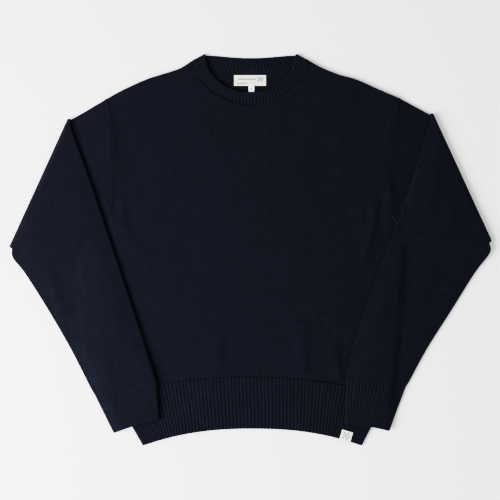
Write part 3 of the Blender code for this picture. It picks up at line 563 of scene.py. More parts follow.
def bandAngles(shares):
    # angles round the front neck at even shares of the length of the band's middle
    angle = np.linspace(0, math.pi, 361)
    middle = bandEdge("seam", angle) + bandEdge("free", angle)
    length = np.concatenate([[0], np.cumsum(np.linalg.norm(np.diff(middle, axis=0), axis=1))])
    return np.interp(shares * length[-1], length, angle)


def frontBandRings(shares):
    # seam points, free points and the outward direction on the front, from left to right
    angle = bandAngles(shares)
    inset = bandInset(np.abs(np.cos(angle)))
    ends = []
    for edge, raised in (("seam", 0.0), ("free", neck["lip"])):
        flat = bandEdge(edge, angle)
        flat = flat + np.stack([np.sign(flat[:, 0]) * inset[:, 0], inset[:, 1]], axis=-1)
        level = frontBottom + half + bandLift(flat[:, 1]) + raised * np.sin(angle)
        ends.append(np.column_stack([flat, level]))
    return ends[0], ends[1], np.tile(up, (len(angle), 1))


def turnBandRings(side, phi):
    # the same where the band turns over at a shoulder: phi 0 on the front and pi on the back
    outward = bandOutward * [side, 1]
    lift = np.column_stack([outward[0] * np.sin(phi), outward[1] * np.sin(phi), np.cos(phi)])
    inset = bandInset(1.0)
    ends = []
    for x, y in bandEnds:
        axis = np.array([side * (x + inset[0]), y + inset[1], half + bandFold])
        ends.append(axis + bandFold * lift)
    return ends[0], ends[1], lift


def backBandRings(shares):
    # the same on the back, from right to left, where the outer face is underneath
    swing = 1 - 2 * shares
    narrow, low = bandInset(1.0)[0], bandInset(np.abs(swing))[:, 1]
    seamY = neck["backSeamY"] + (neck["seamY"] - neck["backSeamY"]) * swing**4
    freeY = neck["freeY"] - neck["backDip"] * (1 - swing**2)
    level = np.full(len(swing), half)
    seam = np.column_stack([swing * (neck["seamHalf"] + narrow), seamY + low, level])
    free = np.column_stack([swing * (neck["freeHalf"] + narrow), freeY + low, level])
    return seam, free, np.tile(-up, (len(swing), 1))


def bandSection():
    # round the band's section: shares from seam to free edge, and heights from -1 to 1, along the
    # outer face, round the free edge, back along the inner face and round the seam edge
    out = np.linspace(*neck["flat"], neck["across"])
    turn = np.linspace(-math.pi / 2, math.pi / 2, 9)[1:-1]
    rounded = out[-1] + (1 - out[-1]) * np.cos(turn)
    share = np.concatenate([out, rounded, out[::-1], [0.0]])
    height = np.concatenate([0 * out + 1, -np.sin(turn), 0 * out - 1, [0.0]])
    return share, height


def makeNeckband():
    perRib = neck["perRib"]
    frontCount, backCount = neck["ribsFront"] * perRib, neck["ribsBack"] * perRib
    frontShares = np.arange(1, frontCount) / frontCount
    backShares = np.arange(1, backCount) / backCount
    turns = np.linspace(0, math.pi, 16)
    parts = [
        frontBandRings(frontShares),
        turnBandRings(1, turns),
        backBandRings(backShares),
        turnBandRings(-1, turns[::-1]),
    ]
    seam, free, lift = (np.vstack([part[i] for part in parts]) for i in range(3))
    plain = np.zeros(len(turns))
    fade = softStep((neck["backEnd"] - np.abs(1 - 2 * backShares)) / neck["backFade"])
    frontFade = softStep(np.minimum(frontShares, 1 - frontShares) / neck["endFade"])
    wave = [ribWave(frontShares * neck["ribsFront"]), ribWave(backShares * neck["ribsBack"])]
    frontRib, backRib = (ribRelief(w) for w in wave)
    frontSunk, backSunk = (-cloth["underGroove"] * (1 - w) for w in wave)
    outer = np.concatenate([frontRib * frontFade, plain, backSunk * fade, plain])
    inner = np.concatenate([frontSunk * frontFade, plain, backRib * fade, plain])
    onBack = np.concatenate([0 * frontShares, plain, fade, plain])
    share, height = bandSection()
    ribbed = softStep(share[None] / (0.05 + neck["seamStrip"] * onBack[:, None]))
    ribbed = ribbed * softStep((neck["rollFrom"] + 0.05 - share) / neck["rollFade"])[None]
    rib = np.where(height > 0, outer[:, None], inner[:, None]) * ribbed * np.abs(height)[None]
    roll = neck["rollRise"] * np.exp(-(((share - neck["rollAt"]) / neck["rollWide"]) ** 2))
    roll = np.where((lift[:, 2:] < 0) & (height[None] > 0), 0.0, roll)  # it rests flat there
    out = np.sign(height) * (np.abs(height) * (half + roll) + rib)
    rings = seam[:, None] + (free - seam)[:, None] * share[None, :, None] + lift[:, None] * out[..., None]
    middle = (seam + free) / 2
    length = np.linalg.norm(np.diff(middle, axis=0, append=middle[:1]), axis=1).cumsum()
    places = np.dstack(np.broadcast_arrays(length[:, None], share[None] * neck["width"]))
    return makeRing("neckbandRib", rings, places, ["neckband"])


neckband = makeNeckband()
print("neckband made")


# Sleeves

sleeves = {
    # edge over the body, outer edge, distance over which it settles to the surface, loft, bow to
    # the elbow
    "left": [
        (317, 229, 419.4, 5, 70, 0.0, 0),
        (311, 212, 412, -14, 70, 1.2, 0),
        (283, 135, 391, -42, 70, 2.0, 0),
        (248, 32, 350, -107, 68, 2.0, 0),
        (215, -66, 313, -171, 66, 2.0, 0),
        (184, -160, 281, -233, 64, 2.0, 3),
        (163, -227, 270, -252, 62, 1.0, 6),
        (158, -292, 238, -317, 60, 0.8, 2),
    ],
    "right": [
        (316.5, 238, 419.4, 15, 70, 0.0, 0),
        (311, 219, 415, -5, 70, 1.2, 0),
        (284, 135, 389.5, -40, 70, 2.0, 0),
        (249, 32, 349.5, -104, 66, 2.0, 0),
        (212, -66, 307.5, -170, 52, 2.0, 0),
        (180, -163, 277, -226, 42, 2.0, 0),
        (166, -221, 269.5, -238, 36, 1.0, -2),
        (164, -300, 241.5, -313, 34, 0.8, 2),
    ],
    "gap": 0.5,  # air between the folded sleeve and what it lies on
    "hemStep": 1.0,  # how much higher it lies over the ribs of the hem
    "hemStepFrom": -150.0,
    "hemStepOver": 60.0,
    # share of its height that it drops right at the body's edge, and over what distance
    "drop": {"left": (0.04, 17.0), "right": (0.95, 17.0)},
    "dropEarly": 3.0,  # how far inside that edge the drop begins
    "dropBelow": (264.0, 38.0, -0.213),  # it begins below this line, the lower part's own edge
    "dropGrows": (45.0, 0.9),  # over what distance it grows, and how much more further out
    "thinEdge": {"left": 0.0, "right": 1.8},  # how much thinner it is along its edge over the body
    "thinOver": 34.0,
    "calm": (0.2, 0.08),  # share of its width at each edge with no puff, and with no creases
    "liftWide": 0.35,  # share of its width over which a lifted edge comes down
    "restEase": (0.12, 0.05),  # share with no creases at the ends of its lower part
    "edge": 3.2,  # radius of its rounded edges in plan
    "restRows": 26,
    "turnRows": 16,
    "foldedRows": 180,
    "innerEvery": 4,  # the inside of the tube keeps one ring of this many
}
sleeveCreases = [
    # left, where the lower layers end and down the forearm
    ([(-350, 10), (-318, 20), (-284, 30)], 11, 7, 0.9),
    ([(-313, -12), (-313, -40), (-311, -66)], 13, 5, 0.8),
    ([(-291, -16), (-291, -42), (-290, -66)], 13, 5, 0.8),
    ([(-344, -26), (-342, -60), (-331, -104), (-318, -146)], 14, 7, 1.1),
    ([(-287, -100), (-285, -122), (-291, -150)], 11, 8, 1.1),
    ([(-233, -100), (-232, -132), (-236, -160)], 11, 9, 0.9),
    ([(-226, -172), (-225, -190), (-229, -208)], 8, 7, 0.6),
    # right: a trough by the body's edge, one inside the outer edge and a few short folds
    ([(269, 92), (263, -20), (255, -90), (247, -160), (243, -252)], 20, 44, -2.2),
    ([(277, 66), (269, 10), (261, -46)], 9, 11, -0.7),
    ([(324, 10), (310, -50), (288, -100), (266, -150)], 22, 12, 2.4),
    ([(362, -52), (340, -92), (318, -126), (294, -162), (274, -206)], 17, 11, 2.4),
    ([(292, 158), (285, 118), (276, 78)], 10, 10, 2.2),
    ([(326, 150), (320, 116), (309, 76)], 16, 10, 2.4),
    ([(352, 92), (351, 64), (345, 40)], 12, 8, 1.8),
    ([(305, 94), (304, 74), (303, 52)], 10, 9, 1.6),
    ([(232, -90), (229, -130), (226, -170)], 9, 9, 0.8),
]
sleeveSwells = [
    (31.0, -43.0, 0.7, 0.20),
    (-24.0, -57.0, 2.6, 0.16),
    (18.0, 29.0, 5.0, 0.10),
]
edgeLifts = [  # where a sleeve's inner edge stands up: x, y, reach and rise
    (-168, -205, 46, 2.6),
    (-250, 50, 100, 0.4),
]


class Sleeve:
    # One sleeve, worked out on the right half. Its lower part lies on the surface from the armhole
    # to the fold, and its upper part lies over the body, with the lower layer then on top

    def __init__(self, word):
        self.word = word
        self.side = sideSign[word]
        self.rows = np.array(sleeves[word], float)
        foldIn, foldOut = self.rows[0, 0:2], self.rows[0, 2:4]
        hemX = np.linspace(hem["half"], 0, 9)
        lowEdge = np.stack([hemX, hemCurve(hemX)], axis=-1)
        self.outline = np.vstack([[foldIn, foldOut], sidePath[::-8], lowEdge, [(0, foldIn[1])]])
        self.radius = (frontTop + sleeves["gap"]) / 2
        self.outward = foldNormal(foldIn, foldOut)
        self.axisEnds = self.rows[0, :4].reshape(2, 2) - self.outward * (self.radius + tubeHalf)
        wristward = self.rows[-2, 0:2] + self.rows[-2, 2:4] - foldIn - foldOut
        self.wristward = wristward / np.linalg.norm(wristward)

    def outsideDistance(self, p):
        # how far points lie outside what carries the sleeve, and 0 over it
        x, y = p[..., 0], p[..., 1]
        inside = np.zeros(x.shape, bool)
        for a, b in zip(self.outline, np.roll(self.outline, -1, axis=0)):
            rise = b[1] - a[1] if b[1] != a[1] else 1.0
            inside ^= ((a[1] > y) != (b[1] > y)) & (x < a[0] + (y - a[1]) * (b[0] - a[0]) / rise)
        away = nearest(np.vstack([self.outline, self.outline[:1]]), x, y)[0]
        return np.where(inside, 0.0, away)

    def section(self, above, below, thick):
        # round a flattened tube: places across it as a share of the stretch between its rounded
        # edges plus an offset in millimetres, and heights. It runs along the bottom, round the
        # far edge and back along the top; thick is taken off all round for the inside
        edge = sleeves["edge"] - thick
        tall = tubeHalf - thick
        arc = np.linspace(-math.pi / 2, math.pi / 2, 13)[1:-1]
        share = np.concatenate([below, np.ones(11), above[::-1], np.zeros(11)])
        offset = np.concatenate([0 * below, edge * np.cos(arc), 0 * above, -edge * np.cos(arc)])
        height = np.concatenate([0 * below - 1, np.sin(arc), 0 * above + 1, -np.sin(arc)])
        return share, offset, height * tall

    def across(self, first, last, share, offset):
        # points of straight lines across the sleeve, and their shares of the whole width
        width = np.linalg.norm(last - first, axis=-1)[:, None]
        t = (sleeves["edge"] + share * (width - 2 * sleeves["edge"]) + offset) / width
        return first[:, None] + (last - first)[:, None] * t[..., None], t

    def placed(self, p, z):
        return np.dstack([self.side * p[..., 0], p[..., 1], z])

    def lay(self, rows, share, offset, height):
        # the upper part: what it lies on, the tube's own height, and a puff of its top layer by
        # sqrt(sin(pi t)), with creases, swells and lifted edges
        first, last = rows[:, 0:2], rows[:, 2:4]
        p, t = self.across(first, last, share, offset)
        run = (last - first) / np.linalg.norm(last - first, axis=-1)[:, None]
        towardsCuff = np.stack([run[:, 1], -run[:, 0]], axis=-1)
        p = p - (towardsCuff * rows[:, 6:7])[:, None] * (4 * t * (1 - t))[..., None]
        x, y = self.side * p[..., 0], p[..., 1]
        overHem = softStep((sleeves["hemStepFrom"] - y) / sleeves["hemStepOver"])
        level = frontTop + sleeves["gap"] + sleeves["hemStep"] * overHem
        dropped, over = sleeves["drop"][self.word]
        pastSide = np.abs(x) - np.interp(y, sidePath[:, 1], sidePath[:, 0])
        out = self.outsideDistance(p)
        cornerX, cornerY, slope = sleeves["dropBelow"]
        beyond = np.maximum(np.abs(x) - cornerX, 0)
        grows = sleeves["dropGrows"][0] + sleeves["dropGrows"][1] * beyond
        dropped = dropped * softStep((cornerY + slope * beyond - y) / grows)
        fall = softStep((pastSide + sleeves["dropEarly"]) / over)
        rest = level * (1 - softStep(out / rows[:, 4:5]) * (1 - dropped) - dropped * fall)
        inside, nearly = (softStep(t / part) * softStep((1 - t) / part) for part in sleeves["calm"])
        folded = softStep(rows[:, 5:6] / 1.2)
        soft = (creaseHeight(sleeveCreases, x, y) + swells(sleeveSwells, x, y)) * folded
        lifted = sum(
            rise * np.exp(-((x - atX) ** 2 + (y - atY) ** 2) / reach**2)
            for atX, atY, reach, rise in edgeLifts
        )
        lifted = lifted * np.exp(-((t / sleeves["liftWide"]) ** 2)) * folded
        top = np.clip(height / np.abs(height).max(), 0, 1)
        fromEdge = t * np.linalg.norm(last - first, axis=-1)[:, None]
        thinned = sleeves["thinEdge"][self.word] * (1 - softStep(fromEdge / sleeves["thinOver"])) * folded
        puff = (rows[:, 5:6] * inside + soft * nearly + lifted - thinned) * top
        return self.placed(p, rest + tubeHalf + height + puff), p

    def turn(self, phi, share, offset, height):
        # the fold: phi 0 on the lower part and pi on the upper part, a half circle about its axis
        ends = [np.tile(end, (len(phi), 1)) for end in self.axisEnds]
        axis = self.across(*ends, share, offset)[0]
        reach = self.radius - height
        p = axis + (np.sin(phi)[:, None] * reach)[..., None] * self.outward
        return self.placed(p, tubeHalf + self.radius - np.cos(phi)[:, None] * reach), axis

    def rest(self, steps, share, offset, height):
        # the lower part: lines from the armhole to the fold, flat on the surface
        path = armPaths[self.word]
        armhole = (path + rightOf(path) * gap)[::-1]
        long = np.linalg.norm(self.axisEnds[1] - self.axisEnds[0])
        t = (sleeves["edge"] + share * (long - 2 * sleeves["edge"]) + offset) / long
        fold = self.axisEnds[0] + t[:, None] * (self.axisEnds[1] - self.axisEnds[0])
        start = along(armhole, t)
        p = start[None] + (fold - start)[None] * steps[:, None, None]
        low, high = sleeves["restEase"]
        raised = softRise(self.side * p[..., 0], p[..., 1]) * softStep(t / low) * softStep((1 - t) / high)
        top = np.clip(height / np.abs(height).max(), 0, 1)
        return self.placed(p, tubeHalf + height + raised * top), p

    def knitPlace(self, opened):
        # places in the knit: the plan with the fold laid open, turned so that the wales run
        # straight to the cuff
        sideways = np.array([self.wristward[1], -self.wristward[0]])
        return np.dstack([opened @ sideways, -(opened @ self.wristward)])

    def foldedRows(self, steps):
        start = [*self.axisEnds.ravel(), *self.rows[0, 4:]]
        return smoothPath([start, *self.rows[1:-1]], steps)[1:]

    def armRings(self, share, offset, height):
        steps = np.linspace(0, 1, sleeves["restRows"], endpoint=False)
        resting, restPlan = self.rest(steps, share, offset, height)
        phi = np.linspace(0, math.pi, sleeves["turnRows"])
        turning, axis = self.turn(phi, share, offset, height)
        folded, foldedPlan = self.lay(self.foldedRows(sleeves["foldedRows"]), share, offset, -height)
        beyond = math.pi * self.radius - 2 * ((restPlan - self.axisEnds[0]) @ self.outward)
        arc = ((math.pi - phi) * self.radius)[:, None, None] * self.outward
        opened = [restPlan + beyond[..., None] * self.outward, axis + arc, foldedPlan]
        return np.vstack([resting, turning, folded]), np.vstack([self.knitPlace(p) for p in opened])

    def makeArm(self):
        fine, coarse = np.linspace(0, 1, 66), np.linspace(0, 1, 34)
        outer, places = self.armRings(*self.section(coarse, fine, 0.0))
        inner, _ = self.armRings(*self.section(coarse, fine, wall))
        return self.closeTube(f"sleeveKnit_{self.word}", outer, inner, places, f"sleeve_{self.word}")

    def makeCuff(self):
        count = cuff["ribs"][self.word]
        top = np.linspace(0, 1, count * cuff["perRib"] + 1)
        share, offset, height = self.section(top, top[::2], 0.0)
        steps = np.linspace(0, 1, cuff["rows"])
        start = self.rows[-2] - np.array([0, gap, 0, gap, 0, 0, 0])
        rows = start + (self.rows[-1] - start) * steps[:, None]
        outer, _ = self.lay(rows, share, offset, height)
        inShare, inOffset, inHeight = self.section(top, top[::2], wall)
        inner, _ = self.lay(rows, inShare, inOffset, inHeight)
        width = np.linalg.norm(rows[:, 2:4] - rows[:, 0:2], axis=1)[:, None]
        phase = (share * (width - 2 * sleeves["edge"]) + sleeves["edge"] + offset) / width * count
        wave = ribWave(phase)
        flat = np.abs(height / tubeHalf)[None] ** 3 * cuff["ribRise"][self.word]
        run = (softStep((1 - steps) / cuff["castOff"]) * (1 - cuff["ribFade"] * steps))[:, None] * flat
        outer[..., 2] += np.where(height > 0, ribRelief(wave), cloth["underGroove"] * (1 - wave)) * run
        drawn = np.dstack(np.broadcast_arrays(phase * ribPlace, -steps[:, None] * cuff["length"]))
        return self.closeTube(f"cuffRib_{self.word}", outer, inner, drawn, f"cuff_{self.word}")

    def closeTube(self, name, outer, inner, places, replaced):
        # one skin: the outside, round the far rim in a half circle, the inside back and the near rim
        direction = np.append(self.wristward * np.array([self.side, 1]), 0.0)
        middle, reach = (outer[-1] + inner[-1]) / 2, (outer[-1] - inner[-1]) / 2
        turn = np.linspace(0, math.pi, 7)[1:-1, None, None]
        rim = middle + reach * np.cos(turn) + direction * np.sin(turn) * 0.8 * half
        keep = np.unique([*range(0, len(inner), sleeves["innerEvery"]), len(inner) - 1])[::-1]
        skin = np.vstack([outer, rim, inner[keep]])
        place = np.vstack([places, np.repeat(places[-1:], len(rim), axis=0), places[keep]])
        return makeRing(name, skin, place, [replaced])


cuff = {
    "ribs": {"left": 19, "right": 17},
    "perRib": 8,
    "rows": 48,
    "castOff": 0.17,  # share of its length that is a smooth cast-off edge
    "ribRise": {"left": 0.42, "right": 1.0},  # the left cuff's ribs are pulled flatter
    "ribFade": 0.45,  # how much flatter they are at the cast-off edge
    "length": 68.0,
}
arms, cuffs = {}, {}
for word in sideSign:
    sleeve = Sleeve(word)
    arms[word] = sleeve.makeArm()
    cuffs[word] = sleeve.makeCuff()
print("sleeves and cuffs made")


# Labels

neckLabel = {"x": -0.7, "y": 294.6, "width": 55.8, "height": 18.7, "thick": 0.8, "turnUnder": 4.5}
sizeTab = {"x": 1.5, "y": 282.3, "width": 10.0, "height": 16.2, "thick": 0.8, "turnUnder": 0.0, "lap": 6.0}
hemLabel = {"x": 163.5, "width": 20.0, "height": 18.4, "thick": 0.8, "tuck": 3.2, "over": 1.3, "bend": 1.6}
tape = {
    "rim": 0.3,  # radius of its rims
    "single": 0.72,  # share of its thickness where it isn't turned under
    "turn": 0.6,  # distance over which that changes
    "wave": 0.12,  # height of its slight waves, their lengths and how far they fade from the ends
    "waveAcross": 5.2,
    "waveAlong": 6.5,
    "waveFade": 6.0,
}


def labelPlan(label, columns, rows):
    # a rectangle with closer rows at its rim, and its places from the lower left corner
    size = np.array([label["width"], label["height"]])
    shares = []
    for count, rim in zip((columns, rows), tape["rim"] / size):
        shares.append(np.unique(np.concatenate([np.linspace(0, 1, count), [rim, 1 - rim]])))
    place = np.dstack(np.meshgrid(*shares)) * size
    corner = np.array([label["x"], label["y"]]) - size / 2
    return place, place + corner


def makeFlatLabel(name, label, raised, replaced, slot):
    # a woven tape on the inside of the back: flat, with rounded rims and ends that are turned under
    place, plan = labelPlan(label, 58, 26)
    u, v = place[..., 0], place[..., 1]
    fromEnds = np.minimum(u, label["width"] - u)
    fromSides = np.minimum(v, label["height"] - v)
    doubled = softStep((label["turnUnder"] - fromEnds) / tape["turn"] + 1)
    thick = label["thick"] * (tape["single"] + (1 - tape["single"]) * doubled)
    wave = 1 + np.sin(u / tape["waveAcross"] + 0.7) * np.cos(v / tape["waveAlong"])
    wave = tape["wave"] * wave * softStep(fromEnds / tape["waveFade"])
    low = backTop + gap + raised(plan[..., 1]) + wave
    full = quarterRound(np.minimum(fromEnds, fromSides), tape["rim"])
    top, bottom = np.dstack([plan, low + thick * full]), np.dstack([plan, low])
    return makeWall(name, top, bottom, place, [replaced], slot)


def overNeckLabel(y):
    # the size tab's rise where it laps over the lower edge of the neck label
    edge = neckLabel["y"] - neckLabel["height"] / 2
    return (neckLabel["thick"] + gap) * softStep((y - edge + sizeTab["lap"]) / (sizeTab["lap"] - 1.0))


def makeHemLabel():
    # a tape folded over the hem's edge: a path of distance out from the edge and height, carried
    # along the edge, with the wall's thickness laid off square to the path
    thick, crest = hemLabel["thick"], frontTop + hemLabel["over"]
    slope = (hemCurve(hemLabel["x"] + 1) - hemCurve(hemLabel["x"] - 1)) / 2
    tangent = np.array([1.0, slope]) / math.hypot(1.0, slope)
    outward = np.array([tangent[1], -tangent[0]])
    turn = np.linspace(0, math.pi / 2, 9)[1:]
    middle = crest + thick / 2
    bend = hemLabel["bend"]
    out = np.concatenate([np.linspace(-hemLabel["height"], -bend / 2, 26), -bend / 2 + bend * np.sin(turn)])
    level = np.concatenate([np.full(26, middle), middle - bend * (1 - np.cos(turn))])
    out = np.append(out, [out[-1]] * 4)
    level = np.append(level, np.linspace(level[-1], middle - hemLabel["tuck"], 5)[1:])
    path = np.column_stack([out, level])
    sideways = np.linspace(-0.5, 0.5, 29) * hemLabel["width"]
    length = np.linalg.norm(np.diff(path, axis=0, prepend=path[:1]), axis=1).cumsum()
    fromRim = np.minimum(hemLabel["width"] / 2 - np.abs(sideways)[None], 9.0)
    fromRim = np.minimum(fromRim, np.minimum(length, length[-1] - length)[:, None])
    full = quarterRound(fromRim, tape["rim"])
    x = hemLabel["x"] + sideways * tangent[0]
    edge = np.column_stack([x, hemCurve(x)])
    layers = []
    for face in (0.5, -0.5):
        shift = path[:, None] - rightOf(path)[:, None] * (face * thick * full)[..., None]
        layers.append(np.dstack([edge[None] + outward * shift[..., :1], shift[..., 1]]))
    place = np.dstack(np.broadcast_arrays(sideways[None] + hemLabel["width"] / 2, -length[:, None]))
    return makeWall("hemTape", *layers, place, ["hem_label"], "cream_label")


neckTape = makeFlatLabel("neckTape", neckLabel, lambda y: 0 * y, "neck_label", "cream_label")
sizeTape = makeFlatLabel("sizeTape", sizeTab, overNeckLabel, "size_tab", "white_tab")
hemTape = makeHemLabel()
print("labels made")


# Seams and stitches

seams = {
    "armWide": 3.4,  # of the ridge where a sleeve is linked to the body
    "armRise": 0.7,
    "armSunk": 0.35,  # how deep its rim lies in the knit
    "armStitch": 3.3,
    "armFrom": 0.06,  # share of the armhole where it starts, under the folded sleeve
    "innerWide": 4.0,  # of the linked edge inside a seam
    "innerShort": 2.0,  # how far it ends from the sides
    "innerClear": 0.06,  # air over and under it
    "chain": 3.1,  # length of one linking stitch round the neck
    "chainLap": 1.12,  # how much longer it is, so that it laps over the next
    "chainWide": 1.5,
    "chainRise": 0.18,
    "chainFrom": (0.12, 0.35),  # angle at which it starts on the front and on the back
    "neckJoin": ((101.0, 327.8), (99.6, 316.5)),  # ends of the linked edge at a shoulder
}


def onPath(path, spacing, length):
    # middles of stitches of that spacing along a path of points, and the way each one runs
    steps = max(2, round(length / spacing))
    points = resample(path, steps)
    run = np.diff(points, axis=0)
    return (points[1:] + points[:-1]) / 2, run / np.linalg.norm(run, axis=1)[:, None]


def pathLength(path):
    return np.linalg.norm(np.diff(path, axis=0), axis=1).sum()


def makeArmSeam(word):
    # a soft ridge over the seam: half an ellipse across, swelling a little at each stitch, and
    # running out at both ends
    path = along(armPaths[word], np.linspace(seams["armFrom"], 1.0, 160))
    across = np.linspace(-1, 1, 11)
    share = np.linspace(0, 1, len(path))
    taper = 0.15 + 0.85 * softStep(np.minimum((share - 0.14) / 0.16, (1 - share) / 0.06))[:, None]
    bead = 1 + 0.10 * np.cos(share * pathLength(path) / seams["armStitch"] * 2 * math.pi)[:, None]
    offset = gap / 2 + across * seams["armWide"] / 2
    plan = path[:, None] + rightOf(path)[:, None] * offset[None, :, None]
    rim = np.zeros((len(path), len(across)))
    rim[1:-1, 1:-1] = 1
    dome = np.sqrt(1 - across**2)[None] * seams["armRise"] * taper * bead * rim
    plan[..., 0] *= sideSign[word]
    base = frontTop + softRise(plan[..., 0], plan[..., 1]) - seams["armSunk"]
    top, bottom = np.dstack([plan, base + dome + 0.2 * rim]), np.dstack([plan, base - 0.3 * rim])
    return makeWall(f"armholeSeam_{word}", top, bottom, plan)


def makeNeckSeam():
    # a chain of linking stitches round the neck, on the front and on the back
    frontFrom, backFrom = seams["chainFrom"]
    angle = np.linspace(frontFrom, math.pi - frontFrom, 200)
    flat = bandEdge("seam", angle, neck["seamGap"] * 0.4)
    frontPath = np.column_stack([flat, frontTop + bandLift(flat[:, 1]) - 0.1])
    backFlat = backNeck(np.linspace(backFrom, math.pi - backFrom, 200)) + [0, neck["seamGap"] * 0.6]
    backPath = np.column_stack([backFlat, np.full(len(backFlat), backTop - 0.05)])
    made = [onPath(path, seams["chain"], pathLength(path)) for path in (frontPath, backPath)]
    centre, run = (np.vstack(part) for part in zip(*made))
    size = seams["chain"] * seams["chainLap"], seams["chainWide"], seams["chainRise"]
    return makeStitches("neckLinking", centre, run, up, *size, slot="rib_knit")


marks = {  # the small slanted stitches where the sleeve's shaping ends, by each underarm
    "left": [(-252.5, 84.5), (-249.5, 81.0), (-246.5, 77.5), (-243.5, 74.0)],
    "right": [(253, 100), (256, 92.5), (260, 85.0), (264, 77.5)],
    "turn": {"left": 52, "right": 12},
    "size": (7.2, 2.5, 0.45),
}


def makeMarks(word):
    spots = np.array(marks[word], float)
    turn = math.radians(marks["turn"][word])
    run = [math.cos(turn), math.sin(turn), 0.0]
    centre = np.column_stack([spots, frontTop - 0.1 + softRise(*spots.T)])
    return makeStitches(f"shapingMarks_{word}", centre, run, up, *marks["size"])


tapeThread = {
    "inset": 1.3,  # from each end of the tape
    "from": 2.0,  # from its lower and its upper edge
    "to": 1.2,
    "spacing": 2.5,
    "size": (1.7, 0.55, 0.28),
}


def makeTapeThread(name, label):
    # two short rows of thread that hold a tape down at its ends
    tall = label["height"] / 2
    y = label["y"] + np.arange(tapeThread["from"] - tall, tall - tapeThread["to"], tapeThread["spacing"])
    x = label["x"] + np.array([-1, 1]) * (label["width"] / 2 - tapeThread["inset"])
    spots = np.array([(a, b) for a in x for b in y])
    centre = np.column_stack([spots, np.full(len(spots), backTop + gap + label["thick"])])
    return makeStitches(name, centre, [0.0, 1.0, 0.0], up, *tapeThread["size"], slot="cream_label")


def makeInnerSeam(name, first, last, low, high, bow):
    # the linked edge inside a seam: a flat strip from first to last, bowed by the given curve
    t = np.linspace(0, 1, 120)[:, None]
    line = first + (last - first) * t + bow(t)
    across = np.linspace(-1, 1, 5)[None, :, None] * seams["innerWide"] / 2
    plan = line[:, None] - rightOf(line)[:, None] * across
    top, bottom = (np.dstack([plan, np.full(plan.shape[:2], level)]) for level in (high, low))
    return makeWall(name, top, bottom, plan)


def makeHemSeam():
    reach = body["halfWaist"] - seams["innerShort"]
    low = waistCurve(reach)
    ends = np.array([[-reach, low], [reach, low]])
    bow = np.array([0, 4 * (waistCurve(0) - low)])
    clear = seams["innerClear"]
    return makeInnerSeam(
        "hemLinking", *ends, backTop + clear, frontBottom - clear, lambda t: bow * t * (1 - t)
    )


def makeNeckJoin(word):
    # the linked edge at a shoulder, between the band's turn and the panels
    first, last = (np.array(spot) * [sideSign[word], 1.0] for spot in seams["neckJoin"])
    return makeInnerSeam(f"neckJoin_{word}", first, last, 0.5, frontTop - 0.5, lambda t: 0 * t)


hemSeam = makeHemSeam()
neckJoins = {word: makeNeckJoin(word) for word in sideSign}
armSeams = {word: makeArmSeam(word) for word in sideSign}
shaping = {word: makeMarks(word) for word in sideSign}
neckSeam = makeNeckSeam()
neckThread = makeTapeThread("neckTapeThread", neckLabel)
print("seams and stitches made")


# Materials


def mathNode(operation, swapped=False):
    # a method of Value that adds one Math node
    def method(self, other=0.0):
        first, second = (other, self) if swapped else (self, other)
        return self.shader.add("ShaderNodeMath", {"operation": operation}, {0: first, 1: second})

    return method


class Value:
    # a shader's socket: an expression on values adds its Math nodes
    def __init__(self, shader, socket):
        self.shader = shader
        self.socket = socket

    __add__ = __radd__ = mathNode("ADD")
    __sub__ = mathNode("SUBTRACT")
    __rsub__ = mathNode("SUBTRACT", swapped=True)
    __mul__ = __rmul__ = mathNode("MULTIPLY")
    __truediv__ = mathNode("DIVIDE")
    above = mathNode("GREATER_THAN")
    below = mathNode("LESS_THAN")
    fraction = mathNode("FRACT")
    size = mathNode("ABSOLUTE")
    whole = mathNode("FLOOR")
    root = mathNode("SQRT")


class Shader:
    # one material, and the one way in which its nodes are added
    def __init__(self, name):
        self.material = bpy.data.materials.new(name)
        self.material.use_nodes = True
        self.tree = self.material.node_tree
        self.tree.nodes.clear()

    def add(self, kind, settings=None, sockets=None, output=0):
        node = self.tree.nodes.new(kind)
        for key, value in (settings or {}).items():
            setattr(node, key, value)
        for key, value in (sockets or {}).items():
            if isinstance(value, Value):
                self.tree.links.new(value.socket, node.inputs[key])
            else:
                node.inputs[key].default_value = value
        return Value(self, node.outputs[output]) if node.outputs else None

    def mixed(self, factor, first, second):
        # a colour between two colours
        return self.add("ShaderNodeMix", {"data_type": "RGBA"}, {0: factor, 6: first, 7: second}, 2)

    def joined(self, x, y, z):
        return self.add("ShaderNodeCombineXYZ", None, {0: x, 1: y, 2: z})

    def places(self):
        # the piece's own places in its knit or weave, in metres, whole and as u and v
        uv = self.add("ShaderNodeUVMap", {"uv_map": knitMap})
        split = self.add("ShaderNodeSeparateXYZ", None, {0: uv})
        return uv, split, Value(self, split.socket.node.outputs[1])

    def noise(self, place, scale, detail=2.0, roughness=0.5):
        sockets = {"Vector": place, "Scale": scale, "Detail": detail, "Roughness": roughness}
        return self.add("ShaderNodeTexNoise", None, sockets)

    def finish(self, colour, roughness, height, depth, fixed):
        # height in 0 to 1 times depth in metres becomes bump; fixed are the shader's own values
        bump = self.add("ShaderNodeBump", None, {"Strength": 1.0, "Distance": depth, "Height": height})
        sockets = {"Base Color": colour, "Roughness": roughness, "Normal": bump, **fixed}
        surface = self.add("ShaderNodeBsdfPrincipled", None, sockets)
        self.add("ShaderNodeOutputMaterial", None, {"Surface": surface})
        return self.material


